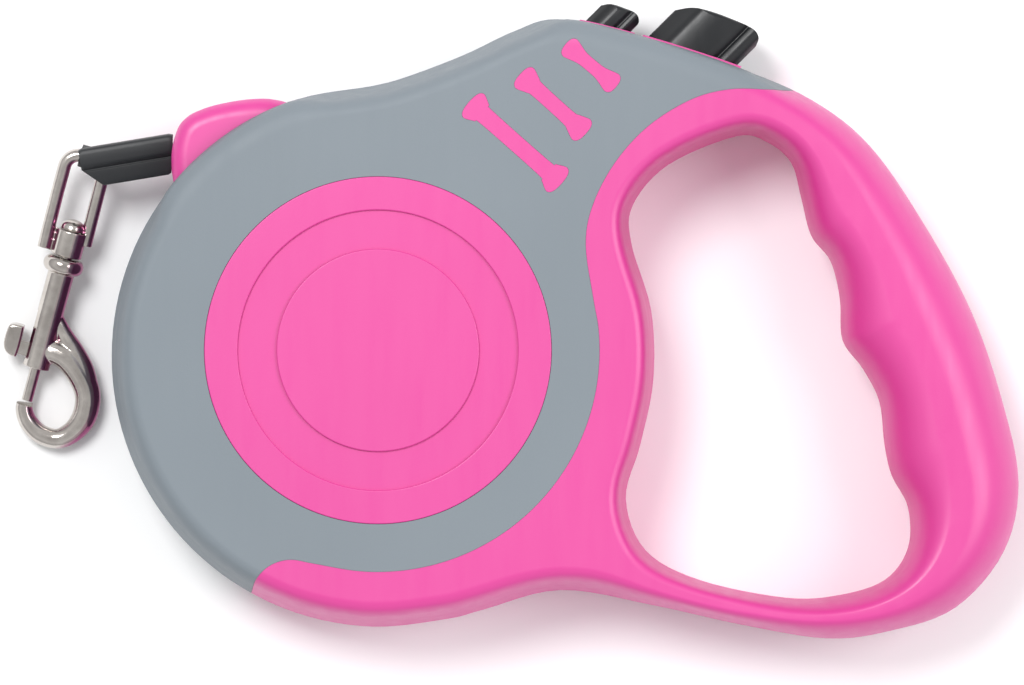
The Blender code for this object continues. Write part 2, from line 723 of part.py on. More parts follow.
def ratchet_outline():
    """Teeth with one steep and one sloping flank. A gap faces the pawl."""
    pitch = 2 * math.pi / TEETH
    aim = TRAVEL_ANGLE - math.asin(pawl_middle() / FLANGE_RADIUS)
    root = FLANGE_RADIUS - TOOTH_DEPTH
    points = []
    for i in range(TEETH):
        start = aim + i * pitch
        points.append(polar(root, start - 0.26 * pitch))
        points.append(polar(root, start + 0.26 * pitch))
        points.append(polar(FLANGE_RADIUS, start + 0.32 * pitch))
        points.append(polar(FLANGE_RADIUS, start + 0.50 * pitch))
    return points


def spool():
    """The drum with its toothed flange, the second flange and the lid of its spring room."""
    bore = AXLE_RADIUS + GAP
    drum = prism("spool_drum", [ratchet_outline(), circle(bore, 20)], *RATCHET, WHITE)
    inner = DRUM_RADIUS - DRUM_WALL
    top = FRONT_FLANGE[0] - GAP
    base = (RATCHET[0] + RATCHET[1]) / 2
    ring = [(DRUM_RADIUS, top), (DRUM_RADIUS, base), (inner, base), (inner, top)]
    join(drum, turned("drum_wall", ring, None, 32, CUTTERS))
    low, high = FRONT_FLANGE
    plate = [(FLANGE_RADIUS, high), (FLANGE_RADIUS, low), (inner - 2, low), (inner - 2, high)]
    smooth(turned("spool_flange", plate, WHITE, 40))
    lid_low = SPRING_HEIGHT[1] + 2 * GAP
    lid_high = lid_low + LID_THICKNESS
    lid = [(inner - GAP, lid_high), (inner - GAP, lid_low), (bore, lid_low), (bore, lid_high)]
    smooth(turned("spring_cover", lid, STEEL, 32))


def tape_outer_radius():
    """The radius of the wound tape, from its length and thickness."""
    start = DRUM_RADIUS + GAP
    return math.sqrt(start ** 2 + TAPE_LENGTH * TAPE_THICKNESS / math.pi)


def tape_roll():
    low, high = MIDDLE - TAPE_WIDTH / 2, MIDDLE + TAPE_WIDTH / 2
    outer, inner = tape_outer_radius(), DRUM_RADIUS + GAP
    ring = [(outer, high), (outer, low), (inner, low), (inner, high)]
    smooth(turned("tape_roll", ring, WEBBING, 40))


def clock_spring():
    """A flat spiral from the axle out to the drum."""
    first = AXLE_RADIUS + GAP + SPRING_STRIP
    last = DRUM_RADIUS - DRUM_WALL - GAP - SPRING_STRIP
    count = SPRING_TURNS * 12
    spiral = []
    for i in range(count + 1):
        radius = first + (last - first) * i / count
        spiral.append(polar(radius, 2 * math.pi * SPRING_TURNS * i / count))
    prism("clock_spring", [ribbon(spiral, SPRING_STRIP)], *SPRING_HEIGHT, STEEL)


def axle():
    low, high = FLOOR + GAP, THICKNESS - FLOOR - GAP
    chamfer = 0.4
    profile = [
        (0.0, high), (AXLE_RADIUS - chamfer, high), (AXLE_RADIUS, high - chamfer),
        (AXLE_RADIUS, low + chamfer), (AXLE_RADIUS - chamfer, low), (0.0, low),
    ]
    smooth(turned("axle", profile, STEEL, 20))


def guide_place(name):
    """Where a guide pin stands: beside the straight tape, on its side of it."""
    x, side = GUIDES[name]
    leave, mouth = roll_tangent(), Vector(MOUTH)
    along = (mouth - leave).normalized()
    across = Vector((along.y, -along.x))
    distance = (mouth.x + x - leave.x) / along.x
    place = leave + along * distance + across * side * (GUIDE_RADIUS + GAP + TAPE_THICKNESS / 2)
    return tuple(place)


def guide_pins():
    for name in GUIDES:
        depth = FLOOR - GUIDE_DEPTH + GAP
        place = guide_place(name)
        smooth(pins(name, [place], GUIDE_RADIUS, depth, THICKNESS - depth, STEEL, PARTS, 10))


# ---------------------------------------------------------------- tape and nozzle

def along_tape(distance, height=MIDDLE):
    """A point on the tape's line, measured outward from the nozzle's mouth."""
    x, y = polar(-distance, TAPE_ANGLE, MOUTH)
    return Vector((x, y, height))


def tape_frame():
    """X outward along the tape, Y across it, Z up, with its origin in the nozzle's mouth."""
    turn = Matrix.Rotation(math.pi + TAPE_ANGLE, 4, "Z")
    return Matrix.Translation(along_tape(0) * MM) @ turn


def roll_tangent():
    """Where the straight tape to the nozzle's mouth leaves the roll, at the tape's middle line."""
    radius = tape_outer_radius() + GAP + TAPE_THICKNESS / 2
    mouth = Vector(MOUTH)
    angle = math.atan2(mouth.y, mouth.x) - math.acos(radius / mouth.length)
    return Vector(polar(radius, angle))


def tape_slot(name):
    """The slot that the tape runs through, from outside the mouth to inside the reel's cavity."""
    across, tall = SLOT
    inward = roll_tangent() - Vector(MOUTH)
    slot = box(name, (-6, -across / 2, -tall / 2), (24, across / 2, tall / 2))
    turn = Matrix.Rotation(math.atan2(inward.y, inward.x), 4, "Z")
    slot.matrix_world = Matrix.Translation(Vector((*MOUTH, MIDDLE)) * MM) @ turn
    return slot


def strap_guide():
    half = NOZZLE_HEIGHT / 2
    guide = prism("strap_guide", [nozzle_outline()], MIDDLE - half, MIDDLE + half, PINK, rounding=1.6)
    return smooth(cut(guide, tape_slot("nozzle_slot")))


def tape_run():
    """The tape from the roll, between the guide pins and out to the nozzle's mouth."""
    leave, mouth = roll_tangent(), Vector(MOUTH)
    half = TAPE_WIDTH / 2
    outline = ribbon([tuple(mouth), tuple(leave)], TAPE_THICKNESS)
    prism("tape_run", [outline], MIDDLE - half, MIDDLE + half, WEBBING)


def tape_sleeve():
    """The stiff sleeve over the tape's sewn end, rolled so that two of its sides show."""
    length, width, thick = SLEEVE
    bm = bmesh.new()
    bmesh.ops.create_cube(bm, size=1.0)
    bmesh.ops.scale(bm, vec=Vector((length, width, thick)) * MM, verts=bm.verts)
    sleeve = from_bmesh(bm, "tape_sleeve", BLACK)
    edge = sleeve.modifiers.new("edges", "BEVEL")
    edge.width = SLEEVE_EDGE * MM
    edge.segments = 2
    shift = Matrix.Translation(Vector((SLEEVE_START + length / 2, 0, 0)) * MM)
    sleeve.matrix_world = tape_frame() @ shift @ Matrix.Rotation(SLEEVE_ROLL, 4, "X")
    return sleeve


# ---------------------------------------------------------------- buttons

def plunger(name, top, sides, foot, width, stem, stem_end, finish, arm=None):
    """A button with its stem, which slides along the travel direction."""
    middle = sum(sides) / 2
    outline = [(foot, sides[0])] + top + [(foot, sides[1])]
    half = width / 2
    placed = [travel_frame(s, t) for s, t in outline]
    button = prism(name, [placed], MIDDLE - half, MIDDLE + half, finish, BUTTON_ROUNDING)
    across, tall = stem
    left, right = middle - across / 2, middle + across / 2
    shape = [(foot + 4, left), (stem_end, left), (stem_end, right), (foot + 4, right)]
    if arm:
        near, reach = arm
        shape = [(foot + 4, left), (stem_end, left), (stem_end, reach), (near, reach), (near, right),
                 (foot + 4, right)]
    placed = [travel_frame(s, t) for s, t in shape]
    join(button, prism(name + "_stem", [placed], MIDDLE - tall / 2, MIDDLE + tall / 2, collection=CUTTERS))
    return smooth(button)


def pawl_middle():
    return sum(BRAKE_SIDES) / 2


def lock_middle():
    return sum(LOCK_SIDES) / 2


def brake():
    """The brake button, and the pawl on its stem that drops between the spool's teeth."""
    plunger(
        "brake_button", BRAKE_TOP, BRAKE_SIDES, BRAKE_FOOT, BRAKE_WIDTH, BRAKE_STEM, BRAKE_STEM_END, BLACK)
    middle = pawl_middle()
    half, tip_half, taper = PAWL
    tip = FLANGE_RADIUS - TOOTH_DEPTH + BRAKE_TRAVEL + GAP
    right = [(tip, tip_half), (tip + taper, half), (PAWL_END, half)]
    left = [(s, -t) for s, t in right[::-1]]
    outline = [travel_frame(s, middle + t) for s, t in right + left]
    high = MIDDLE - BRAKE_STEM[1] / 2 - GAP
    prism("brake_pawl", [outline], RATCHET[0], high, WHITE)


def lock():
    """The lock button, whose arm reaches beside the brake button's stem."""
    arm = (PAWL_END, pawl_middle() - BRAKE_STEM[0] / 2 - 0.5)
    plunger(
        "lock_button", LOCK_TOP, LOCK_SIDES, LOCK_FOOT, LOCK_WIDTH, LOCK_STEM, LOCK_STEM_END, BLACK, arm)


def coil(name, start, end, middle, radius, wire_radius, turns, finish):
    """A compression spring round a stem, along the buttons' direction of travel."""
    points = []
    count = turns * 10
    for i in range(count + 1):
        angle = 2 * math.pi * turns * i / count
        s = start + (end - start) * i / count
        x, y = travel_frame(s, middle + radius * math.cos(angle))
        points.append((x, y, MIDDLE + radius * math.sin(angle)))
    return wire(name, points, wire_radius, finish)


def button_springs():
    thick = 0.35
    low, high = SHELF[1] + GAP + thick, BRAKE_FOOT - GAP - thick
    coil("brake_spring", low, high, pawl_middle(), 3.9, thick, 4, STEEL)
    thick = 0.3
    low, high = SHELF[1] + GAP + thick, LOCK_FOOT - GAP - thick
    coil("lock_spring", low, high, lock_middle(), 3.1, thick, 2, STEEL)


# ---------------------------------------------------------------- snap hook

def hook_frame():
    place = Matrix.Translation(Vector(HOOK_AT) * MM)
    return place @ Matrix.Rotation(HOOK_TURN, 4, "Z") @ Matrix.Rotation(HOOK_TILT, 4, "X")


def set_in_hook(obj):
    """Move a piece made in the hook's own frame, and the cutters it uses, to its place."""
    obj.data.transform(hook_frame())
    for step in obj.modifiers:
        if step.type == "BOOLEAN":
            step.object.data.transform(hook_frame())
    return smooth(obj)


def hook_eye():
    """A square bail of round wire on a collar that turns on the rivet."""
    left, right = EYE_SIDES
    corner, top = EYE_CORNER, EYE_TOP
    path = [(left + 0.2, 1.7), (left, 10.0), (left, top - corner)]
    path += arc(corner, math.pi, math.pi / 2, 6, (left + corner, top - corner))[1:]
    path += arc(corner, math.pi / 2, 0.0, 6, (right - corner, top - corner))
    path += [(right + 0.1, 10.0), (right + 0.2, 4.0)]
    bail = wire("hook_eye", [(x, y, 0.0) for x, y in path], EYE_WIRE, NICKEL, sides=3)
    radius, low, high = COLLAR
    join(bail, rod("collar", radius, low, high, None, CUTTERS, 24))
    join(bail, box("collar_web", (left, low + 1.0, -0.9), (right, high - 1.2, 0.9)))
    cut(bail, rod("collar_bore", RIVET_POST + GAP, low - 2, high + 2, None, CUTTERS, 16))
    return set_in_hook(bail)


def eye_rivet():
    """The domed rivet that holds the hook to the collar and lets it swivel."""
    seat = COLLAR[2] + GAP
    radius, height = RIVET_DOME
    dome = [(0.0, seat + height)]
    for angle in (math.radians(degrees) for degrees in (65, 40, 15, 0)):
        dome.append((radius * math.cos(angle), seat + height * math.sin(angle)))
    profile = dome + [(RIVET_POST, seat), (RIVET_POST, RIVET_END), (0.0, RIVET_END)]
    rivet = turned("eye_rivet", profile, NICKEL, 20)
    rivet.matrix_world = hook_frame() @ Matrix.Rotation(-math.pi / 2, 4, "X")
    return smooth(rivet)


HOOK_PATH = [
    (1.6, -11.0, 1.5), (4.4, -14.2, 2.0), (7.7, -17.3, 2.35), (10.4, -20.4, 2.3), (11.4, -24.2, 2.1),
    (10.6, -28.0, 2.0), (8.2, -31.3, 1.85), (5.0, -32.5, 1.75), (2.2, -31.6, 1.6), (0.4, -29.4, 1.45),
    (-0.15, BOLT_END - 0.5, 1.35),
]


def hook_curve(steps=2):
    """The hook's middle line and radius, smooth through HOOK_PATH."""
    points = [Vector(p) for p in HOOK_PATH]
    points = [2 * points[0] - points[1]] + points + [2 * points[-1] - points[-2]]
    out = []
    for i in range(1, len(points) - 2):
        a, b, c, d = points[i - 1:i + 3]
        for k in range(steps):
            u = k / steps
            bent = 2 * b + (c - a) * u + (2 * a - 5 * b + 4 * c - d) * u * u
            out.append(0.5 * (bent + (3 * b - a - 3 * c + d) * u ** 3))
    return out + [points[-2]]


def hook_body():
    """Barrel, flange and curved hook in one casting, with the bolt's bore and slot."""
    line = hook_curve()
    path = [(p.x, p.y, 0.0) for p in line]
    hook = wire("hook_body", path, 1.0, NICKEL, radii=[p.z for p in line], sides=3)
    web = [(0.6, -8.0), (2.4, -10.6), (8.4, -16.4), (7.6, -19.8), (4.6, -19.4), (1.0, -19.2)]
    join(hook, prism("hook_web", [web], -WEB_HALF, WEB_HALF, collection=CUTTERS))
    join(hook, rod("barrel", BARREL, BARREL_END, 0.0, None, CUTTERS, 20))
    radius, low, high = FLANGE
    join(hook, rod("flange", radius, low, high, None, CUTTERS, 24))
    cut(hook, rod("rivet_hole", RIVET_POST + GAP, RIVET_END - GAP, FLANGE[2] + 2, None, CUTTERS, 16))
    cut(hook, rod("bolt_bore", BORE, BARREL_END - 1.5, BORE_TOP, None, CUTTERS, 16))
    low, high = TAB_NECK[0] - TAB_PLAY, TAB_NECK[1] + BOLT_TRAVEL + TAB_PLAY
    half = TAB_NECK_HALF + 0.35
    cut(hook, box("tab_slot", (-4.0, low, -half), (0.0, high, half)))
    return set_in_hook(hook)


def hook_bolt():
    """The sliding bolt with its thumb tab on a neck through the barrel's slot."""
    bolt = rod("hook_bolt", BOLT, BOLT_END, BOLT_TOP, NICKEL, PARTS, 16)
    low, high = TAB_NECK
    join(bolt, box("tab_neck", (-5.0, low, -TAB_NECK_HALF), (0.0, high, TAB_NECK_HALF)))
    tab = [(-6.3, -13.4), (-4.6, -13.0), (-4.4, -18.6), (-4.9, -19.3), (-6.4, -17.6), (-7.0, -15.6)]
    join(bolt, prism("thumb_tab", [tab], -TAB_HALF, TAB_HALF, collection=CUTTERS))
    return set_in_hook(bolt)


def bolt_spring():
    thick, radius, turns = 0.18, 0.8, 5
    low, high = BOLT_TOP + GAP + thick, BORE_TOP - GAP - thick
    count = turns * 8
    points = []
    for i in range(count + 1):
        angle = 2 * math.pi * turns * i / count
        points.append((radius * math.cos(angle), low + (high - low) * i / count, radius * math.sin(angle)))
    return set_in_hook(wire("bolt_spring", points, thick, STEEL, sides=1))


def tape_loop():
    """The loop of tape round the eye's top bar, with the tab that enters the sleeve."""
    inner, outer = EYE_WIRE + GAP, EYE_WIRE + GAP + TAPE_THICKNESS
    middle = sum(EYE_SIDES) / 2
    at = Matrix.Translation(Vector((middle, EYE_TOP, 0)) * MM) @ Matrix.Rotation(math.pi / 2, 4, "Y")
    loop = bmesh.new()
    hole = bmesh.new()
    for bm, radius, width in ((loop, outer, LOOP_WIDTH), (hole, inner, 2 * LOOP_WIDTH)):
        bmesh.ops.create_cone(
            bm, cap_ends=True, segments=20, radius1=radius * MM, radius2=radius * MM,
            depth=width * MM, matrix=at,
        )
    band = from_bmesh(loop, "tape_loop", WEBBING)
    left, right = middle - LOOP_WIDTH / 2 + 0.2, middle + LOOP_WIDTH / 2 - 0.2
    low, high = EYE_TOP - 0.9, EYE_TOP + 0.9
    join(band, box("loop_tab", (left, low, inner + 0.2), (right, high, LOOP_RISE)))
    cut(band, from_bmesh(hole, "loop_hole", None, CUTTERS))
    return set_in_hook(band)


# ---------------------------------------------------------------- the whole object

def build():
    for front in (True, False):
        half_shell(front)
        cover(front)
        cap(front)
    case_screws()
    spool()
    tape_roll()
    clock_spring()
    axle()
    guide_pins()
    strap_guide()
    tape_run()
    tape_sleeve()
    brake()
    lock()
    button_springs()
    hook_eye()
    eye_rivet()
    hook_body()
    hook_bolt()
    bolt_spring()
    tape_loop()


build()
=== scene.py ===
import math

import bmesh
import bpy
import numpy as np
from mathutils import Matrix, Vector
from mathutils.geometry import delaunay_2d_cdt

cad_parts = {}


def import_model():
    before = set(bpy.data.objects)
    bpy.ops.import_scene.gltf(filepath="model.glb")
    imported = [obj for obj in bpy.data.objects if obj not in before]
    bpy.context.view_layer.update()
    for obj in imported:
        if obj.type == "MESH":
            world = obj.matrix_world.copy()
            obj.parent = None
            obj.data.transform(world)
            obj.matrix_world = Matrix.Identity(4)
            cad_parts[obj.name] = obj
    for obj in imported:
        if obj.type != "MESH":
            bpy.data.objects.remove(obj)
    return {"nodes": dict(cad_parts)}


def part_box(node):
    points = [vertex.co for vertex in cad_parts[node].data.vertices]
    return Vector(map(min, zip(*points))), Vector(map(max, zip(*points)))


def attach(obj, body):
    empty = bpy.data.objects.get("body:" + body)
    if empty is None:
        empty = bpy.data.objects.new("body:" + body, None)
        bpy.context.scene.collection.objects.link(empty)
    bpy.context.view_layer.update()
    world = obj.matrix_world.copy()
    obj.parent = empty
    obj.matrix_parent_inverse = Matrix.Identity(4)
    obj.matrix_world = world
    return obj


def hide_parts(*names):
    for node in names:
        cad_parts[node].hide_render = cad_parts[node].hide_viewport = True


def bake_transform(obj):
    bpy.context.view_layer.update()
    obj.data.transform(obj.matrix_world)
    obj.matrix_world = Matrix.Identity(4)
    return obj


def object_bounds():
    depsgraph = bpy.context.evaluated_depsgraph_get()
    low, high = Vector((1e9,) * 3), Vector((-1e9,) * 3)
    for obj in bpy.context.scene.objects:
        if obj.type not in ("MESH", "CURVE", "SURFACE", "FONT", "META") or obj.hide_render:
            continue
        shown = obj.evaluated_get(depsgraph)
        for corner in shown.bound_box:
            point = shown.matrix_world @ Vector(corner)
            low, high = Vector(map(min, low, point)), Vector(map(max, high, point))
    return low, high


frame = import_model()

# The retractable leash's looks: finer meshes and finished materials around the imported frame.
# Lists and lengths are in millimetres, and MM turns them into metres. Only the lights, the floor's size and
# the shaders' scales are in metres. The frame's axes are the CAD's: origin on the reel's axis at the resting
# face, +X to the grip, +Y to the buttons, +Z to the front.

CAD_LOW, CAD_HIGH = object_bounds()
MM = 0.001


def box_mm(node):
    """A node's lowest and highest corner in millimetres."""
    low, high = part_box(node)
    return Vector(low) / MM, Vector(high) / MM


THICKNESS = CAD_HIGH[2] / MM
MIDDLE = THICKNESS / 2
GAP = 0.3                     # clearance in the frame
LINE = 0.02                   # half the width of the fine line between the two colours
SEAM = 0.11                   # half the seam between the case's halves
FINE = 6                      # curve steps between two outline points

# Case
REEL_OUTLINE = 49.2
REEL_OUTLINE_AT = (0.6, -1.1)
REEL_WALL = 7.0
COVER = 1.2
WALL = 2.0
FLOOR = COVER + GAP + WALL
GRIP_THICKNESS = 26.0
GRIP_ROUND = 10.4             # how far in from its edge the grip is rounded
GRIP_FROM, GRIP_UNTIL = 60.0, 88.0      # the flat body turns into the round grip between these
GRIP_ARC = 86.0               # degrees of that rounding, from the parting plane up
THINNEST_SHARE = 0.46         # the most of a narrow wall's width that one edge may take
# The edge's section: height above the parting plane, and how far in the wall is there on the drafted body,
# where the nozzle and the buttons come out of it, and in the hand opening.
SIDE = [
    (0.0, 0.0, 0.0, 0.0), (5.0, 0.85, 0.0, 0.6), (9.6, 1.7, 0.1, 1.15), (MIDDLE - 2.0, 2.3, 0.6, 1.6),
    (MIDDLE - 0.6, 3.2, 2.0, 2.3), (MIDDLE - 0.05, 4.4, 3.7, 3.3), (MIDDLE, 5.4, 5.4, 4.2),
]
DRAFTED, UPRIGHT, OPENED = 1, 2, 3      # columns of that section
UPRIGHT_AT = [((-28.2, 38.6), 14.0), ((51.0, 56.0), 16.5)]      # middle and reach
UPRIGHT_FADE = 7.0
WALL_ROWS = 6                           # rings below the rounding
EVENED = (0.1, 0.5)                     # share of evening for every ring, and more for the grip's rounding
# The core under the cover: how far in from its foot, and height above the parting plane
CORE_DRAFT = [(0.0, -6.0), (0.0, 0.0), (2.2, MIDDLE - 3.0)]
CORE_TOP = 3.2
COVER_EDGE = 40.0
EDGE_ARC = (math.radians(-96.0), math.radians(14.0))
CAP_RADIUS = box_mm("front_cap")[1].x + GAP
CAP_GROOVE = (25.3, 18.3)
CAP_GROOVE_DEPTH = 0.55

OUTER = [
    (5.3, 49.8), (15.5, 53.7), (24.6, 58.0), (32.4, 60.2), (45.4, 57.6), (64.8, 51.5), (78.7, 45.5),
    (89.1, 37.3), (98.7, 23.6), (107.6, 7.3), (113.3, -9.1), (116.3, -24.0), (113.6, -36.6),
    (104.8, -46.8), (93.0, -51.0), (81.5, -52.4), (66.4, -50.0), (50.0, -46.4), (33.1, -43.6), (18.9, -47.2),
]
OPENING = [
    (65.0, 38.9), (70.8, 37.7), (75.0, 34.0), (76.8, 27.6), (78.6, 20.8), (82.1, 16.2), (83.8, 9.4),
    (84.3, 1.8), (88.0, -3.4), (91.0, -9.4), (91.9, -17.0), (93.2, -22.7), (96.2, -28.6), (96.2, -36.0),
    (92.0, -41.8), (83.8, -44.5), (74.0, -45.0), (58.4, -41.8), (48.5, -36.4), (44.9, -27.0),
    (47.5, -17.3), (49.9, -5.4), (49.5, 7.3), (45.9, 19.4), (46.2, 26.4), (52.6, 33.7),
]
EDGE_START = [(-26.0, -52.0), (-23.0, -43.6), (-21.6, -40.8), (-19.2, -38.7), (-15.8, -37.8), (-11.6, -38.5)]
EDGE_END = [
    (37.5, 19.0), (38.7, 26.0), (42.6, 33.6), (48.6, 40.3), (56.4, 45.2), (63.5, 47.1), (70.5, 47.1),
    (76.0, 47.3), (84.0, 50.0),
]
EDGE_OUTSIDE = [(84.0, 75.0), (-75.0, 75.0), (-75.0, -65.0), (-26.0, -65.0)]
# Each bone: both ends, and the half widths of its shaft and of its flared ends.
BONES = [
    ((16.5, 44.8), (33.1, 30.1), 1.55, 2.8),
    ((25.7, 49.8), (37.5, 39.1), 1.4, 2.4),
    ((33.9, 55.2), (43.0, 47.6), 1.2, 1.95),
]
FLARE = 4.4                   # how far back from its end a bone flares
BODY_CAVITY = [
    (24.0, -38.5), (33.0, -37.2), (40.0, -33.0), (41.0, -24.0), (44.0, -14.0), (46.0, -4.0), (45.6, 7.0),
    (42.0, 18.5), (42.0, 27.0), (48.0, 36.8), (57.0, 43.0), (61.0, 44.5), (55.0, 47.8), (44.0, 51.2),
    (33.0, 53.4), (24.5, 50.6), (15.0, 46.4),
]
GRIP_CAVITY = [(80.5, 36.5), (88.0, 26.0), (95.0, 11.0), (101.0, -6.0), (104.6, -20.0), (104.0, -32.0)]
GRIP_CAVITY_SIZE = (8.6, 8.5)           # width, and height above the parting plane
AXLE_RADIUS = box_mm("axle")[1].x
POST_WALL = 2.3
SCREWS = 6
BOSS_RADIUS = 2.9
SCREW_HOLE = 1.55
HEAD_HOLE = (2.3, 3.3)                  # radius and depth

# Nozzle and tape
MOUTH = (-37.5, 35.8)
TAPE_ANGLE = math.radians(9.4)
NOZZLE = [
    (25.0, 5.2), (24.0, 7.4), (21.4, 8.9), (18.8, 9.6), (16.2, 9.8), (12.4, 9.5), (8.2, 8.7), (5.4, 7.8),
    (3.3, 6.8), (1.6, 5.2), (0.7, 3.2), (0.1, 0.6), (0.0, -1.8), (0.2, -4.4), (1.0, -7.4), (3.4, -10.2),
    (7.0, -10.0), (12.4, -5.6), (17.6, -1.2), (22.4, 2.6),
]
NOZZLE_HEIGHT = 19.0
NOZZLE_ROUNDING = 3.0
SLOT = (2.4, 12.0)                      # across the tape and in height
SLOT_TURN = -0.06                       # from the case's X axis, in radians
TAPE = (10.0, 0.7)                      # width and thickness
SLEEVE_SECTION = [            # across the tape and height, round the sleeve from its upper edge
    (-3.55, 1.4), (-2.9, 2.5), (-0.7, 2.35), (0.05, 1.75), (0.5, 0.95), (1.1, 1.05), (3.3, 0.2), (3.6, -0.8),
    (2.0, -2.9), (-0.6, -1.9), (-3.3, 0.3),
]
SLEEVE_ENDS = (-0.65, 0.85, 16.8)       # from the mouth: its near end above and below, and its far end
SLEEVE_CORNER = 3.2
SLEEVE_ROWS = (0.0, 0.04, 0.35, 0.7, 0.96, 1.0)
SLEEVE_TIP = 0.93                       # size of the section at both ends
TAPE_PAID_OUT = (-6.0, -2.0)            # the stretch inside the nozzle that is drawn out
TAPE_END = 2.4                          # inside the sleeve
TAPE_NECK = 1.4                         # its width there

# Buttons, in a frame turned to their direction of travel: s outward, t to the right. Each has its left and
# right side, its top as (s, t), its height, its foot, how far its slot runs past the foot, its stem's width
# and height, where the stem ends, and its profile: half its height from left to right.
TRAVEL_ANGLE = math.radians(45.0)
BRAKE = {
    "sides": (-5.6, 9.4),
    "top": [
        (81.6, -5.6), (84.0, -3.8), (85.8, -1.2), (87.6, 2.6), (89.1, 6.6), (88.8, 8.6), (87.4, 9.4),
    ],
    "height": 16.0,
    "foot": 68.0,
    "room": 4.0,
    "stem": (3.8, 5.0),
    "stem_end": 41.0,
    "profile": [
        (-5.7, 4.4), (-4.0, 6.0), (-2.4, 7.45), (-1.0, 7.9), (1.4, 8.0), (3.8, 7.75), (5.3, 7.2), (5.9, 6.5),
        (6.4, 6.9), (7.4, 7.15), (8.6, 6.7), (9.5, 5.4),
    ],
}
LOCK = {
    "sides": (-15.7, -8.6),
    "top": [(72.8, -15.7), (74.2, -14.6), (75.3, -12.6), (76.2, -10.2), (75.6, -8.8), (74.6, -8.6)],
    "height": 11.0,
    "foot": 62.0,
    "room": 3.0,
    "stem": (3.0, 4.0),
    "stem_end": 50.0,
    "profile": [
        (-15.8, 3.4), (-14.6, 4.7), (-13.4, 5.4), (-12.4, 5.5), (-11.5, 5.3), (-10.9, 4.7), (-10.4, 4.9),
        (-9.6, 4.9), (-8.5, 3.6),
    ],
}
SHELL_PLAY, COVER_PLAY = 0.25, 0.85     # room round the buttons in the shell and in the cover
BUTTON_ROUNDING = 0.9
BUTTON_SPAN = (55.0, 95.0)    # longer than both buttons, along their travel
SLOT_REACH = 95.0
# The pink lip round a button: how far it stands past the outline, its wall, its foot and its depth
LIP, LIP_WALL, LIP_FOOT, LIP_DEPTH = 0.18, 0.8, 50.0, 1.6

# Snap hook, in its own frame: x across, y towards the eye, z up. Its origin is the swivel.
HOOK_AT = (MOUTH[0] - 20.1, MOUTH[1] - 19.8, MIDDLE - 7.8)
HOOK_TURN = math.radians(-15.4)
HOOK_TILT = math.radians(7.0)
EYE_WIRE = 1.22
EYE_SIDES = (-4.5, 2.7)
EYE_CORNER = 2.6
EYE_TOP = 19.8
COLLAR = (2.85, 1.3, 6.0)     # radius, low and high end
FLANGE = (3.75, -1.9, 1.0)    # the same
BARREL = 2.45
BARREL_END = -20.0
BOLT = 1.0
BOLT_END = -26.3
RIVET_POST = 1.2
RIVET_PLAY = 0.15             # round the post, and under the dome
RIVET_DOME = (2.3, 2.0)       # radius and height
RIVET_RIM = 0.35              # height of the rim round the dome
RIVET_END = -0.9
# Middle line and radius of the hook's curve, and of the flank that runs down to it from the barrel
HOOK_PATH = [
    (0.4, -16.6, 2.1), (2.8, -16.3, 2.35), (5.4, -17.0, 2.5), (8.0, -19.0, 2.45), (10.1, -21.6, 2.4),
    (10.9, -24.4, 2.35), (10.7, -27.3, 2.25), (9.3, -30.0, 2.0), (7.0, -31.7, 1.85), (3.8, -31.6, 1.8),
    (1.3, -30.1, 1.7), (0.0, -28.2, 1.6), (-0.3, BOLT_END - 0.4, 1.5),
]
FLANK = [(0.9, -9.6, 1.2), (3.3, -12.6, 1.55), (6.0, -15.4, 1.95), (8.3, -18.2, 2.2), (9.9, -21.2, 2.3)]
TAB = [
    (-6.3, -13.3), (-4.3, -13.1), (-3.9, -13.9), (-3.9, -18.3), (-4.5, -19.0), (-6.0, -18.5), (-6.8, -17.0),
    (-6.8, -14.4),
]
TAB_HEIGHT = 3.5
# The tape's loop round the eye: width, thickness, and room round the wire
LOOP = (2.6, 0.6, 0.25)


# ---------------------------------------------------------------- outlines

def polar(radius, angle, centre=(0.0, 0.0)):
    return (centre[0] + radius * math.cos(angle), centre[1] + radius * math.sin(angle))


def arc(radius, start, end, count, centre=(0.0, 0.0)):
    """Points along an arc, both ends included."""
    return [polar(radius, start + (end - start) * i / (count - 1), centre) for i in range(count)]


def catmull(a, b, c, d, u):
    bent = 2 * b + (c - a) * u + (2 * a - 5 * b + 4 * c - d) * u * u
    return 0.5 * (bent + (3 * b - a - 3 * c + d) * u ** 3)


def smooth_closed(points, steps=FINE):
    """A closed Catmull-Rom curve through the points, with steps to each span."""
    count = len(points)
    out = []
    for i in range(count):
        around = [Vector(points[(i + k) % count]) for k in (-1, 0, 1, 2)]
        out += [tuple(catmull(*around, k / steps)) for k in range(steps)]
    return out


def smooth_open(points, steps=FINE):
    """An open Catmull-Rom curve through the points."""
    points = [Vector(p) for p in points]
    points = [2 * points[0] - points[1]] + points + [2 * points[-1] - points[-2]]
    out = []
    for i in range(1, len(points) - 2):
        out += [tuple(catmull(*points[i - 1:i + 3], k / steps)) for k in range(steps)]
    return out + [tuple(points[-2])]


def normals(points, closed=True):
    """Unit normals that point to the left of the direction of travel."""
    count = len(points)
    out = []
    for i in range(count):
        before = Vector(points[i - 1] if closed or i else points[i])
        after = Vector(points[(i + 1) % count] if closed or i < count - 1 else points[i])
        along = (after - before).normalized()
        out.append(Vector((-along.y, along.x)))
    return out


def offset(points, distance, closed=True):
    """The points moved to the left by the distance."""
    return [tuple(Vector(p) + n * distance) for p, n in zip(points, normals(points, closed))]


def ribbon(points, width):
    """The outline of a strip of the given width that follows the points."""
    return offset(points, width / 2, closed=False) + offset(points, -width / 2, closed=False)[::-1]


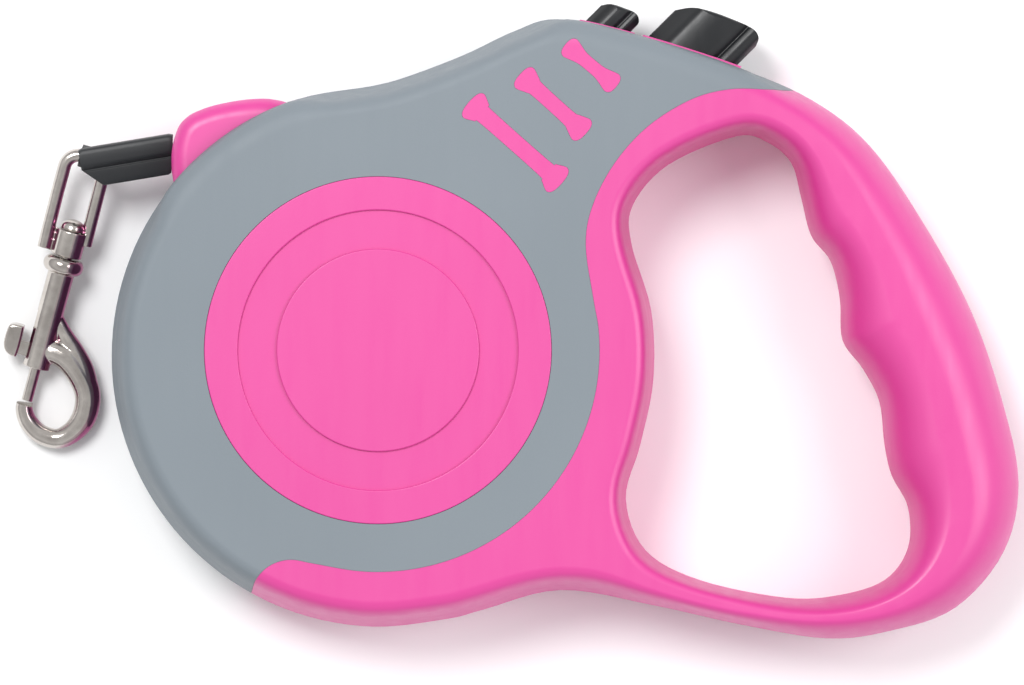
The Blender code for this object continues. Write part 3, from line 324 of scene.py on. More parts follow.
def travel_frame(s, t):
    """From the buttons' frame to x and y."""
    return (
        s * math.cos(TRAVEL_ANGLE) + t * math.sin(TRAVEL_ANGLE),
        s * math.sin(TRAVEL_ANGLE) - t * math.cos(TRAVEL_ANGLE),
    )


def travel_matrix():
    """The same as a matrix."""
    cos, sin = math.cos(TRAVEL_ANGLE), math.sin(TRAVEL_ANGLE)
    return Matrix(((cos, sin, 0, 0), (sin, -cos, 0, 0), (0, 0, 1, 0), (0, 0, 0, 1)))


def bone_outline(start, end, shaft, flare):
    """A straight shaft that flares at both ends, with rounded corners."""
    half = (Vector(end) - Vector(start)).length / 2
    middle = (Vector(start) + Vector(end)) / 2
    along = (Vector(end) - Vector(start)).normalized()
    across = Vector((-along.y, along.x))
    corner = [
        (half, flare * 0.35), (half - 0.3, flare * 0.8), (half - 0.95, flare),
        (half - FLARE * 0.4, flare * 0.93), (half - FLARE * 0.7, shaft + (flare - shaft) * 0.3),
        (half - FLARE, shaft),
    ]
    right = [(x, -y) for x, y in corner[::-1]] + corner
    outline = smooth_closed(right + [(-x, -y) for x, y in right], 4)
    return [tuple(middle + along * x + across * y) for x, y in outline]


def outer_outline():
    """Clockwise: over the top, round the grip, along the bottom, then the arc round the reel."""
    bottom, top = math.radians(-76.0), math.radians(92.0)
    return smooth_closed(OUTER + arc(REEL_OUTLINE, bottom, top - 2 * math.pi, 13, REEL_OUTLINE_AT))


def opening_outline():
    return smooth_closed(OPENING)


def cover_edge(clearance):
    """The outline of everything on the cover's side of its edge, less the clearance."""
    edge = smooth_open(EDGE_START + arc(COVER_EDGE, *EDGE_ARC, 14) + EDGE_END)
    return offset(edge, clearance, closed=False) + EDGE_OUTSIDE


def blend(value, low, high):
    """From 0 at low to 1 at high, with soft ends."""
    u = min(max((value - low) / (high - low), 0.0), 1.0)
    return u * u * (3 - 2 * u)


# ---------------------------------------------------------------- meshes

def new_object(name, mesh):
    obj = bpy.data.objects.new(name, mesh)
    bpy.context.scene.collection.objects.link(obj)
    return obj


def from_bmesh(bm, name):
    """A mesh object with its faces turned outward. The bmesh is freed."""
    bmesh.ops.recalc_face_normals(bm, faces=bm.faces)
    mesh = bpy.data.meshes.new(name)
    bm.to_mesh(mesh)
    bm.free()
    return new_object(name, mesh)


def evaluated(obj):
    """The object's shape as a new mesh."""
    bpy.context.view_layer.update()
    graph = bpy.context.evaluated_depsgraph_get()
    return bpy.data.meshes.new_from_object(obj.evaluated_get(graph))


def applied(obj):
    """The object with its modifiers applied to its mesh."""
    mesh = evaluated(obj)
    obj.modifiers.clear()
    obj.data = mesh
    return obj


def remove(*objects):
    for obj in objects:
        bpy.data.objects.remove(obj, do_unlink=True)


def boolean(obj, operation, *others):
    """Apply Booleans with each of the others, and remove them."""
    for other in others:
        step = obj.modifiers.new("step", "BOOLEAN")
        step.operation = operation
        step.object = other
    applied(obj)
    remove(*others)
    return obj


def cut(obj, *others):
    return boolean(obj, "DIFFERENCE", *others)


def join(obj, *others):
    return boolean(obj, "UNION", *others)


def keep(obj, *others):
    return boolean(obj, "INTERSECT", *others)


def curve_mesh(curve, name, place=None):
    """The curve's evaluated shape as a mesh object, with its caps welded on."""
    holder = new_object(name, curve)
    if place:
        holder.matrix_world = place
    mesh = evaluated(holder)
    mesh.transform(holder.matrix_world)
    remove(holder)
    bm = bmesh.new()
    bm.from_mesh(mesh)
    bmesh.ops.remove_doubles(bm, verts=bm.verts, dist=0.001 * MM)
    return from_bmesh(bm, name)


def prism(name, outlines, low, high, rounding=0.0, steps=4):
    """A flat outline, with any holes after it, from height low to height high."""
    curve = bpy.data.curves.new(name, "CURVE")
    curve.dimensions = "2D"
    curve.fill_mode = "BOTH"
    curve.extrude = ((high - low) / 2 - rounding) * MM
    curve.bevel_depth = rounding * MM
    curve.bevel_resolution = steps
    curve.offset = -rounding * MM
    for outline in outlines:
        spline = curve.splines.new("POLY")
        spline.points.add(len(outline) - 1)
        spline.use_cyclic_u = True
        for point, (x, y) in zip(spline.points, outline):
            point.co = (x * MM, y * MM, 0.0, 1.0)
    return curve_mesh(curve, name, Matrix.Translation((0, 0, (low + high) / 2 * MM)))


def wire(name, points, radius, radii=None):
    """A round rod along 3-D points, with its ends filled."""
    curve = bpy.data.curves.new(name, "CURVE")
    curve.dimensions = "3D"
    curve.bevel_depth = radius * MM
    curve.bevel_resolution = 8
    curve.use_fill_caps = True
    spline = curve.splines.new("POLY")
    spline.points.add(len(points) - 1)
    for i, (x, y, z) in enumerate(points):
        spline.points[i].co = (x * MM, y * MM, z * MM, 1.0)
        spline.points[i].radius = radii[i] if radii else 1.0
    return curve_mesh(curve, name)


def turned(name, profile, steps=96):
    """A closed profile of (radius, height) points, turned about Z."""
    bm = bmesh.new()
    corners = [bm.verts.new((r * MM, 0.0, z * MM)) for r, z in profile]
    for a, b in zip(corners, corners[1:] + corners[:1]):
        if a.co.x > 1e-9 or b.co.x > 1e-9:
            bm.edges.new((a, b))
    bmesh.ops.spin(
        bm, geom=bm.verts[:] + bm.edges[:], cent=(0, 0, 0), axis=(0, 0, 1),
        angle=2 * math.pi, steps=steps, use_merge=True,
    )
    bmesh.ops.remove_doubles(bm, verts=bm.verts, dist=0.001 * MM)
    return from_bmesh(bm, name)


def pins(name, places, radius, low, high, sides=32):
    """Upright cylinders at the places, in one mesh."""
    bm = bmesh.new()
    for x, y in places:
        at = Matrix.Translation(Vector((x, y, (low + high) / 2)) * MM)
        bmesh.ops.create_cone(
            bm, cap_ends=True, segments=sides, radius1=radius * MM, radius2=radius * MM,
            depth=(high - low) * MM, matrix=at,
        )
    return from_bmesh(bm, name)


def laid_along_y(obj):
    """The piece turned from the Z axis to the Y axis, for the hook's own frame."""
    obj.data.transform(Matrix.Rotation(-math.pi / 2, 4, "X"))
    return obj


def rod(name, radius, low, high):
    """A cylinder along Y."""
    return laid_along_y(pins(name, [(0.0, 0.0)], radius, low, high, 48))


def block(name, low, high):
    """A box between two corners."""
    bm = bmesh.new()
    low, high = Vector(low), Vector(high)
    bmesh.ops.create_cube(bm, size=1.0)
    bmesh.ops.scale(bm, vec=(high - low) * MM, verts=bm.verts)
    bmesh.ops.translate(bm, vec=(low + high) / 2 * MM, verts=bm.verts)
    return from_bmesh(bm, name)


def loft(bm, rings):
    """Faces between the rings. Returns the vertices of the first and the last ring."""
    rows = [[bm.verts.new(Vector(p) * MM) for p in ring] for ring in rings]
    count = len(rows[0])
    for lower, upper in zip(rows, rows[1:]):
        for i in range(count):
            k = (i + 1) % count
            bm.faces.new((lower[i], lower[k], upper[k], upper[i]))
    return rows[0], rows[-1]


def ring_edges(bm, row):
    """The edges of a closed ring of vertices."""
    return [bm.edges.get((row[i], row[(i + 1) % len(row)])) for i in range(len(row))]


def fill_rings(bm, rows, normal=(0, 0, 1)):
    """Close the rings with triangles, each on its own."""
    for row in rows:
        bmesh.ops.triangle_fill(bm, use_beauty=True, edges=ring_edges(bm, row), normal=normal)


def turned_over(obj):
    """The same piece mirrored about the parting plane."""
    obj.data.transform(Matrix.Translation((0, 0, THICKNESS * MM)) @ Matrix.Scale(-1, 4, (0, 0, 1)))
    obj.data.flip_normals()
    return obj


def edge_softened(obj, width, angle, segments):
    """A small round on the sharp edges, which catches the light as a moulded edge does."""
    step = obj.modifiers.new("soft_edges", "BEVEL")
    step.width = width * MM
    step.segments = segments
    step.limit_method = "ANGLE"
    step.angle_limit = math.radians(angle)
    step.use_clamp_overlap = True
    return applied(obj)


def shaded(obj, angle=32.0):
    """Smooth shading that keeps flat faces flat."""
    obj.data.shade_smooth()
    obj.data.set_sharp_from_angle(angle=math.radians(angle))
    step = obj.modifiers.new("even_normals", "WEIGHTED_NORMAL")
    step.keep_sharp = True
    return obj


def as_cast(obj, voxel, rounds):
    """Melts joined shapes into one casting, with small fillets where they meet."""
    step = obj.modifiers.new("remesh", "REMESH")
    step.mode = "VOXEL"
    step.voxel_size = voxel * MM
    applied(obj)
    step = obj.modifiers.new("melt", "SMOOTH")
    step.factor = 0.5
    step.iterations = rounds
    return applied(obj)


def place_piece(obj, finish, body, *nodes, slot=None):
    """Give the piece its material and body, and let it stand for its CAD nodes."""
    obj.data.materials.clear()
    obj.data.materials.append(finish)
    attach(obj, body)
    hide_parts(*nodes)
    return obj


# ---------------------------------------------------------------- materials

class Nodes:
    """A short way to add and link shader nodes."""

    def __init__(self, name):
        self.material = bpy.data.materials.new(name)
        self.material.use_nodes = True
        self.tree = self.material.node_tree
        self.shader = self.tree.nodes["Principled BSDF"]
        self.coordinates = self.add("ShaderNodeTexCoord").outputs["Object"]

    def add(self, kind, **values):
        """A node with its properties."""
        node = self.tree.nodes.new(kind)
        for key, value in values.items():
            setattr(node, key, value)
        return node

    def link(self, source, target):
        self.tree.links.new(source, target)

    def noise(self, scale, detail=3.0, roughness=0.5, stretch=None):
        """Noise of about the given number of grains to a metre, stretched along an axis if asked."""
        node = self.add("ShaderNodeTexNoise")
        node.inputs["Scale"].default_value = scale
        node.inputs["Detail"].default_value = detail
        node.inputs["Roughness"].default_value = roughness
        source = self.coordinates
        if stretch:
            mapping = self.add("ShaderNodeMapping")
            mapping.inputs["Scale"].default_value = stretch
            self.link(source, mapping.inputs["Vector"])
            source = mapping.outputs["Vector"]
        self.link(source, node.inputs["Vector"])
        return node.outputs["Fac"]

    def ranged(self, value, low, high, start=0.3, end=0.7):
        """The value mapped so that it is low at start and high at end."""
        node = self.add("ShaderNodeMapRange")
        node.inputs["From Min"].default_value = start
        node.inputs["From Max"].default_value = end
        node.inputs["To Min"].default_value = low
        node.inputs["To Max"].default_value = high
        self.link(value, node.inputs["Value"])
        return node.outputs["Result"]

    def mixed(self, factor, first, second):
        """A blend of two colours. The first may be another node's output."""
        node = self.add("ShaderNodeMix", data_type="RGBA")
        if isinstance(first, tuple):
            node.inputs["A"].default_value = (*first, 1.0)
        else:
            self.link(first, node.inputs["A"])
        node.inputs["B"].default_value = (*second, 1.0)
        self.link(factor, node.inputs["Factor"])
        return node.outputs["Result"]

    def bump(self, height, distance, after=None):
        """A surface relief of the given depth, on top of another one if asked."""
        node = self.add("ShaderNodeBump")
        node.inputs["Distance"].default_value = distance * MM
        node.inputs["Strength"].default_value = 1.0
        self.link(height, node.inputs["Height"])
        if after:
            self.link(after, node.inputs["Normal"])
        return node.outputs["Normal"]

    def use(self, **sockets):
        """Link outputs to the shader's sockets, named in lower case with underscores."""
        for key, source in sockets.items():
            self.link(source, self.shader.inputs[key.replace("_", " ").title()])


def plastic(name, colour, shade, roughness, grain, grain_height, specular=0.4, stretch=(1.0, 0.12, 1.0)):
    """Moulded plastic: a spark-eroded grain, slight flow marks and fine scuffs."""
    nodes = Nodes(name)
    flow = nodes.noise(22.0, 2.0)
    scuff = nodes.noise(420.0, 5.0, 0.6, stretch)
    fine = nodes.noise(grain, 2.0, 0.6)
    nodes.use(base_color=nodes.mixed(nodes.ranged(flow, 0.0, 1.0), shade, colour))
    nodes.use(roughness=nodes.ranged(scuff, roughness - 0.05, roughness + 0.06))
    nodes.use(normal=nodes.bump(scuff, grain_height, after=nodes.bump(fine, grain_height)))
    nodes.shader.inputs["Specular IOR Level"].default_value = specular
    return nodes.material


def metal(name, colour, shade, roughness, stretch, scratch_height, painted_case_reflection=None):
    """Plated or drawn metal: faint clouds in the plated finish and hairline scratches. A darker colour, if
    given last, is
    painted on the flank that faces the case: a painted reflection of the pink case."""
    nodes = Nodes(name)
    cloud = nodes.noise(260.0, 4.0, 0.6)
    hair = nodes.noise(2600.0, 4.0, 0.7, stretch)
    plating_and_painted_reflection = nodes.mixed(nodes.ranged(cloud, 0.0, 1.0), shade, colour)
    # Painted reflection: the flank that faces the case, found from the surface's normal, is tinted towards
    # the given colour.
    if painted_case_reflection:
        facing = nodes.add("ShaderNodeVectorMath", operation="DOT_PRODUCT")
        facing.inputs[1].default_value = (math.cos(HOOK_TURN), math.sin(HOOK_TURN), 0.0)
        nodes.link(nodes.add("ShaderNodeTexCoord").outputs["Normal"], facing.inputs[0])
        plating_and_painted_reflection = nodes.mixed(nodes.ranged(facing.outputs["Value"], 0.0, 1.0, 0.2, 0.55), plating_and_painted_reflection, painted_case_reflection)
    nodes.use(base_color=plating_and_painted_reflection)
    nodes.use(roughness=nodes.ranged(cloud, roughness - 0.04, roughness + 0.07))
    nodes.use(normal=nodes.bump(hair, scratch_height))
    nodes.shader.inputs["Metallic"].default_value = 1.0
    return nodes.material


def webbing(name, colour, shade):
    """Woven nylon tape: ribs across and along, with a soft sheen."""
    nodes = Nodes(name)
    waves = []
    for direction in ("X", "Z"):
        wave = nodes.add("ShaderNodeTexWave", bands_direction=direction)
        wave.inputs["Scale"].default_value = 330.0
        wave.inputs["Distortion"].default_value = 1.2
        wave.inputs["Detail Scale"].default_value = 2.0
        nodes.link(nodes.coordinates, wave.inputs["Vector"])
        waves.append(wave.outputs["Fac"])
    weave = nodes.add("ShaderNodeMath", operation="MULTIPLY")
    for source, target in zip(waves, weave.inputs):
        nodes.link(source, target)
    nodes.use(base_color=nodes.mixed(weave.outputs["Value"], shade, colour))
    nodes.use(normal=nodes.bump(weave.outputs["Value"], 0.12))
    nodes.shader.inputs["Roughness"].default_value = 0.75
    nodes.shader.inputs["Sheen Weight"].default_value = 0.3
    return nodes.material


PINK = plastic(
    "pink_plastic", (0.640, 0.042, 0.280), (0.615, 0.038, 0.266),
    roughness=0.42, grain=3400.0, grain_height=0.010, specular=0.8,
)
GREY = plastic(
    "grey_plastic", (0.200, 0.231, 0.258), (0.186, 0.216, 0.242),
    roughness=0.55, grain=4200.0, grain_height=0.020, specular=0.35,
)
BLACK = plastic(
    "black_plastic", (0.013, 0.014, 0.016), (0.009, 0.010, 0.012),
    roughness=0.36, grain=1800.0, grain_height=0.006, specular=0.42,
)
SLEEVE_BLACK = plastic(
    "sleeve_plastic", (0.026, 0.028, 0.031), (0.014, 0.015, 0.017),
    roughness=0.44, grain=1500.0, grain_height=0.02, specular=0.45, stretch=(0.06, 1.0, 1.0),
)
ACETAL = plastic(
    "white_acetal", (0.80, 0.80, 0.77), (0.75, 0.75, 0.72), roughness=0.38, grain=2400.0, grain_height=0.008,
)
# The purple on the hook's flank that faces the case is a painted reflection of the pink case.
NICKEL = metal(
    "nickel", (0.66, 0.62, 0.58), (0.50, 0.46, 0.43),
    roughness=0.15, stretch=(1.0, 0.15, 1.0), scratch_height=0.004, painted_case_reflection=(0.30, 0.08, 0.18),
)
STEEL = metal(
    "spring_steel", (0.50, 0.51, 0.53), (0.40, 0.41, 0.43),
    roughness=0.28, stretch=(0.2, 1.0, 1.0), scratch_height=0.004,
)
WEBBING = webbing("black_webbing", (0.020, 0.020, 0.023), (0.008, 0.008, 0.010))


# ---------------------------------------------------------------- the case's halves

def uprightness(x, y):
    """1 where the nozzle and the buttons come out of the wall, which is drafted elsewhere."""
    share = 0.0
    for middle, reach in UPRIGHT_AT:
        distance = (Vector((x, y)) - Vector(middle)).length
        share = max(share, 1.0 - blend(distance, reach, reach + UPRIGHT_FADE))
    return share


def edge_rings(outline, other, column, inward):
    """Rings up the side of the case: drafted and rounded on the body, round on the grip.
    Each ring starts from the one below it, evened out where it is deep, so that tight bends don't cross."""
    rows = smooth_open(SIDE, 3)
    reach = rows[-1][column]
    others = np.array(other)
    widths = [np.hypot(*(others - p).T).min() for p in np.array(outline)]
    rounds = [blend(x, GRIP_FROM, GRIP_UNTIL) for x, _ in outline]
    upright = [uprightness(*p) if column == DRAFTED else 0.0 for p in outline]
    place = [Vector(p) for p in outline]
    count = len(place)
    before = [0.0] * count
    rings = []
    for step, row in enumerate(rows):
        angle = math.radians(GRIP_ARC * step / (len(rows) - 1))
        sides = normals(place)
        flat, lifts = [], []
        for i in range(count):
            inset = row[column] + (row[UPRIGHT] - row[column]) * upright[i]
            body_inset = inset * min(1.0, THINNEST_SHARE * widths[i] / reach)
            grip_inset = min(GRIP_ROUND, THINNEST_SHARE * widths[i]) * (1 - math.cos(angle))
            grip_height = GRIP_THICKNESS / 2 * math.sin(angle)
            shift = body_inset + (grip_inset - body_inset) * rounds[i]
            flat.append(place[i] + sides[i] * (shift - before[i]) * inward)
            lifts.append(max(row[0] + (grip_height - row[0]) * rounds[i], SEAM))
            before[i] = shift
        place = []
        for i in range(count):
            even = EVENED[0] if step else 0.0
            if step > WALL_ROWS:
                even += EVENED[1] * rounds[i]
            place.append(flat[i] * (1 - even) + (flat[i - 1] + flat[(i + 1) % count]) * even / 2)
        rings.append([(p.x, p.y, MIDDLE + lift) for p, lift in zip(place, lifts)])
    return rings


def crown_height(x):
    """Height of the front face above the parting plane, which falls to the grip's crown."""
    return MIDDLE + (GRIP_THICKNESS / 2 - MIDDLE) * blend(x, GRIP_FROM, GRIP_UNTIL)


def is_inside(point, outline):
    """Whether the point lies inside the closed outline."""
    a = np.array(outline)
    b = np.roll(a, -1, axis=0)
    crosses = (a[:, 1] > point[1]) != (b[:, 1] > point[1])
    rise = np.where(crosses, b[:, 1] - a[:, 1], 1.0)
    at = a[:, 0] + (point[1] - a[:, 1]) / rise * (b[:, 0] - a[:, 0])
    return np.count_nonzero(crosses & (at > point[0])) % 2 == 1


def crown(bm, outside, inside, spacing=2.4):
    """The face between the two top rings, with points inside it where it isn't flat. The points lie in
    rows of triangles, and keep half their spacing away from the rings."""
    corners = outside + inside
    flat = np.array([v.co.to_2d() / MM for v in corners])
    hole = flat[len(outside):]
    low, high = flat.min(axis=0), flat.max(axis=0)
    grid = []
    for row, y in enumerate(np.arange(low[1], high[1], spacing * 0.87)):
        for x in np.arange(max(low[0], GRIP_FROM - 6), high[0], spacing):
            point = np.array((x + spacing / 2 * (row % 2), y))
            if np.hypot(*(flat - point).T).min() > spacing * 0.5 and not is_inside(point, hole):
                grid.append(point)
    edges = []
    for start, loop in ((0, outside), (len(outside), inside)):
        edges += [(start + i, start + (i + 1) % len(loop)) for i in range(len(loop))]
    points = [Vector(p) for p in np.vstack([flat, grid])]
    made, _, faces, origins, _, _ = delaunay_2d_cdt(points, edges, [], 1, 1e-5)
    verts = []
    for point, origin in zip(made, origins):
        known = [i for i in origin if i < len(corners)]
        height = MIDDLE + crown_height(point.x)
        verts.append(corners[known[0]] if known else bm.verts.new(Vector((point.x, point.y, height)) * MM))
    for face in faces:
        middle = sum((made[i] for i in face), Vector((0.0, 0.0))) / len(face)
        if not is_inside(middle, hole) and bm.faces.get([verts[i] for i in face]) is None:
            bm.faces.new([verts[i] for i in face])
    bmesh.ops.delete(bm, geom=[v for v in bm.verts if not v.link_faces], context="VERTS")


def half_case(name):
    """The outside of the front half, closed at the parting plane."""
    outer, opening = outer_outline(), opening_outline()
    bm = bmesh.new()
    outside = loft(bm, edge_rings(outer, opening, DRAFTED, -1))
    inside = loft(bm, edge_rings(opening, outer, OPENED, 1))
    edges = ring_edges(bm, outside[0]) + ring_edges(bm, inside[0])
    bmesh.ops.triangle_fill(bm, use_beauty=True, edges=edges, normal=(0, 0, 1))
    crown(bm, outside[1], inside[1])
    return from_bmesh(bm, name)


def cover_zone(name, inset, clearance):
    """What lies on the cover's side of its edge and outside the shell's core. The inset is its depth."""
    zone = prism(name, [cover_edge(clearance)], MIDDLE - 3, THICKNESS + 3)
    outline = outer_outline()
    bm = bmesh.new()
    rings = []
    for shift, height in CORE_DRAFT + [(CORE_TOP, MIDDLE - inset)]:
        rings.append([(x, y, MIDDLE + height) for x, y in offset(outline, -inset - shift)])
    fill_rings(bm, loft(bm, rings))
    return cut(zone, from_bmesh(bm, name + "_core"))


def button_slot(name, button, foot, margin):
    """The slot that a button travels in, cut out past the rim."""
    left, right = button["sides"][0] - margin, button["sides"][1] + margin
    corners = [(foot, left), (SLOT_REACH, left), (SLOT_REACH, right), (foot, right)]
    half = button["height"] / 2 + margin
    return prism(name, [[travel_frame(s, t) for s, t in corners]], MIDDLE - half, MIDDLE + half)


def nozzle_outline(spread=0.0):
    outline = smooth_closed([(MOUTH[0] + x, MOUTH[1] + y) for x, y in NOZZLE], 4)
    return offset(outline, -spread) if spread else outline


def rim_cuts(margin):
    """What the rim leaves open: both buttons' slots, with a margin, and the nozzle's seat."""
    half = NOZZLE_HEIGHT / 2 + 0.1
    return [
        button_slot("brake_slot", BRAKE, BRAKE["foot"] - BRAKE["room"], margin),
        button_slot("lock_slot", LOCK, LOCK["foot"] - LOCK["room"], margin),
        prism("nozzle_seat", [nozzle_outline(0.1)], MIDDLE - half, MIDDLE + half),
    ]


def lips():
    """A low pink wall round each button's slot, which stands proud of the case's outline."""
    made = []
    for button in (BRAKE, LOCK):
        wall = button_slot("lip", button, LIP_FOOT, LIP_WALL)
        keep(wall, prism("lip_edge", [offset(outer_outline(), LIP)], MIDDLE + SEAM, THICKNESS))
        inside = prism("lip_back", [offset(outer_outline(), -LIP_DEPTH)], MIDDLE - 1, THICKNESS + 1)
        made.append(cut(wall, inside))
    return made


def bones(name, spread, low, high):
    """The three bones side by side in one mesh, each outline grown by the spread."""
    bm = bmesh.new()
    for i, bone in enumerate(BONES):
        piece = prism(f"{name}_{i}", [offset(bone_outline(*bone), -spread)], low, high)
        bm.from_mesh(piece.data)
        remove(piece)
    return from_bmesh(bm, name)


def screw_places():
    """The screws' middles, read from the frame."""
    places = []
    for i in range(SCREWS):
        low, high = box_mm(f"case_screw_{i + 1}")
        places.append(((low.x + high.x) / 2, (low.y + high.y) / 2))
    return places


def cavity(front):
    """Room for the reel and the buttons, less the post and the bosses."""
    inner = THICKNESS - FLOOR
    around = arc(REEL_OUTLINE - REEL_WALL, math.radians(92.0), math.radians(284.0), 60, REEL_OUTLINE_AT)
    room = prism("cavity", [around + BODY_CAVITY], MIDDLE - 4, inner)
    if front:
        flange = box_mm("spool_flange")[1].z
    else:
        flange = THICKNESS - box_mm("spool_drum")[0].z
    post = pins("post", [(0.0, 0.0)], AXLE_RADIUS + GAP + POST_WALL, flange + 0.5, inner + 1)
    bosses = pins("bosses", screw_places(), BOSS_RADIUS, MIDDLE + 0.2, inner + 1, 24)
    return cut(room, post, bosses)


def screw_holes(front):
    """Blind bores in the front half, and through bores with room for the heads in the back half."""
    if front:
        top = box_mm("case_screw_1")[1].z + 0.6
        return [pins("screw_holes", screw_places(), SCREW_HOLE, MIDDLE - 4, top, 24)]
    radius, depth = HEAD_HOLE
    return [
        pins("screw_holes", screw_places(), SCREW_HOLE, MIDDLE - 4, THICKNESS + 1, 24),
        pins("head_holes", screw_places(), radius, THICKNESS - depth, THICKNESS + 4, 32),
    ]


def half_shell(front):
    """One pink half: body, handle and bones, hollowed for the reel, with a lip round each button."""
    shell = half_case("front_case_half" if front else "back_case_half")
    recess = cut(cover_zone("recess", COVER + 0.1, -LINE), bones("proud", 0.0, MIDDLE, THICKNESS + 5))
    width, height = GRIP_CAVITY_SIZE
    grip = prism("grip_cavity", [ribbon(smooth_open(GRIP_CAVITY, 4), width)], MIDDLE - 4, MIDDLE + height)
    cut(shell, recess, cavity(front), grip)
    join(shell, *lips())
    axle_hole = pins("axle_hole", [(0.0, 0.0)], AXLE_RADIUS + 0.2, MIDDLE - 4, THICKNESS - FLOOR)
    cut(shell, *rim_cuts(SHELL_PLAY), axle_hole, *screw_holes(front))
    return shell if front else turned_over(shell)


def cover(front):
    """The grey skin: face and rim as far as the parting plane, with its windows."""
    skin = half_case("front_skin" if front else "back_skin")
    zone = cover_zone("skin_zone", COVER, LINE)
    windows = bones("windows", LINE * 2, MIDDLE, THICKNESS + 5)
    round_window = pins("round_window", [(0.0, 0.0)], CAP_RADIUS, MIDDLE, THICKNESS + 5, 160)
    cut(zone, windows, round_window)
    keep(skin, zone)
    cut(skin, *rim_cuts(COVER_PLAY))
    return skin if front else turned_over(skin)


def case():
    for front in (True, False):
        side = "front" if front else "back"
        shell = shaded(half_shell(front))
        place_piece(shell, PINK, "case", side + "_shell", slot="pink_shell")
        skin = shaded(cover(front))
        place_piece(skin, GREY, "case", side + "_cover", slot="grey_cover")
        cap(side)


def rounded_step(radius, high, low, fillet, steps=4):
    """Profile points down or up a step at the radius, with its top edge rounded."""
    out = [(radius - fillet + fillet * math.sin(a), high - fillet + fillet * math.cos(a))
           for a in (math.pi / 2 * i / steps for i in range(steps + 1))]
    return out + [(radius, low)]


def cap(side):
    """The round cap over the reel, with its shallow groove and rounded edges."""
    high, low = THICKNESS, THICKNESS - COVER
    groove = high - CAP_GROOVE_DEPTH
    outer, inner = CAP_GROOVE
    edge = 0.25
    rise = [(2 * outer - r, z) for r, z in rounded_step(outer, high, groove, edge)][::-1]
    profile = [(0.0, high)] + rounded_step(inner, high, groove, edge) + rise
    profile += rounded_step(CAP_RADIUS - 0.04, high, low, 0.2) + [(0.0, low)]
    made = turned(side + "_disc", profile, 160)
    if side == "back":
        turned_over(made)
    place_piece(shaded(made), PINK, "case", side + "_cap", slot="pink_shell")


# ---------------------------------------------------------------- nozzle, tape and sleeve

def along_tape(distance, height=MIDDLE):
    """A point on the tape's line, measured outward from the nozzle's mouth."""
    x, y = polar(-distance, TAPE_ANGLE, MOUTH)
    return Vector((x, y, height))


def tape_frame():
    """X outward along the tape, Y across it, Z up, with its origin in the nozzle's mouth."""
    return Matrix.Translation(along_tape(0) * MM) @ Matrix.Rotation(math.pi + TAPE_ANGLE, 4, "Z")


def nozzle():
    half = NOZZLE_HEIGHT / 2
    guide = prism("nozzle", [nozzle_outline()], MIDDLE - half, MIDDLE + half, NOZZLE_ROUNDING, 8)
    across, tall = SLOT
    slot = block("slot", (-6, -across / 2, -tall / 2), (24, across / 2, tall / 2))
    mouth = Matrix.Translation(Vector((*MOUTH, MIDDLE)) * MM)
    slot.data.transform(mouth @ Matrix.Rotation(SLOT_TURN, 4, "Z"))
    cut(guide, slot)
    place_piece(shaded(guide), PINK, "case", "strap_guide", slot="pink_shell")


def sleeve():
    """The stiff sleeve folded over the tape's sewn end: a broad facet, a crease and a narrow facet.
    Its end towards the nozzle follows the mouth, and the other end's lower corner is cut off."""
    bm = bmesh.new()
    section = smooth_closed(SLEEVE_SECTION, 3)
    upper, lower = min(section)[0], max(section)[0]
    rings = []
    for u in SLEEVE_ROWS:
        size = SLEEVE_TIP if u in (0.0, 1.0) else 1.0
        ring = []
        for y, z in section:
            down = (y - upper) / (lower - upper)
            start = SLEEVE_ENDS[0] + (SLEEVE_ENDS[1] - SLEEVE_ENDS[0]) * down
            end = SLEEVE_ENDS[2] - SLEEVE_CORNER * max(0.0, (down - 0.55) / 0.45)
            ring.append((start + (end - start) * u, y * size, z * size))
        rings.append(ring)
    fill_rings(bm, loft(bm, rings), normal=(1, 0, 0))
    body = from_bmesh(bm, "tape_end_sleeve")
    body.data.transform(tape_frame())
    place_piece(shaded(body), SLEEVE_BLACK, "leash_end", "tape_sleeve", slot="black_button")


def tape_line():
    """The tape from inside the nozzle to the sleeve, which is paid out as the leash is pulled."""
    wide, thick = TAPE
    start, end = TAPE_PAID_OUT
    sections = [(start - 2.0, wide)]
    sections += [(start + (end - start) * i / 8, wide) for i in range(9)]
    sections += [(end + 0.8, TAPE_NECK), (TAPE_END, TAPE_NECK)]
    rings = []
    for distance, width in sections:
        half, side = width / 2, thick / 2
        corners = [(-side, -half), (side, -half), (side, half), (-side, half)]
        rings.append([(distance, y, z) for y, z in corners])
    bm = bmesh.new()
    for end_ring in loft(bm, rings):
        bm.faces.new(end_ring)
    tape = from_bmesh(bm, "tape_line")
    tape.data.transform(tape_frame())
    tape.data.materials.append(WEBBING)
    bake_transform(tape)


# ---------------------------------------------------------------- buttons

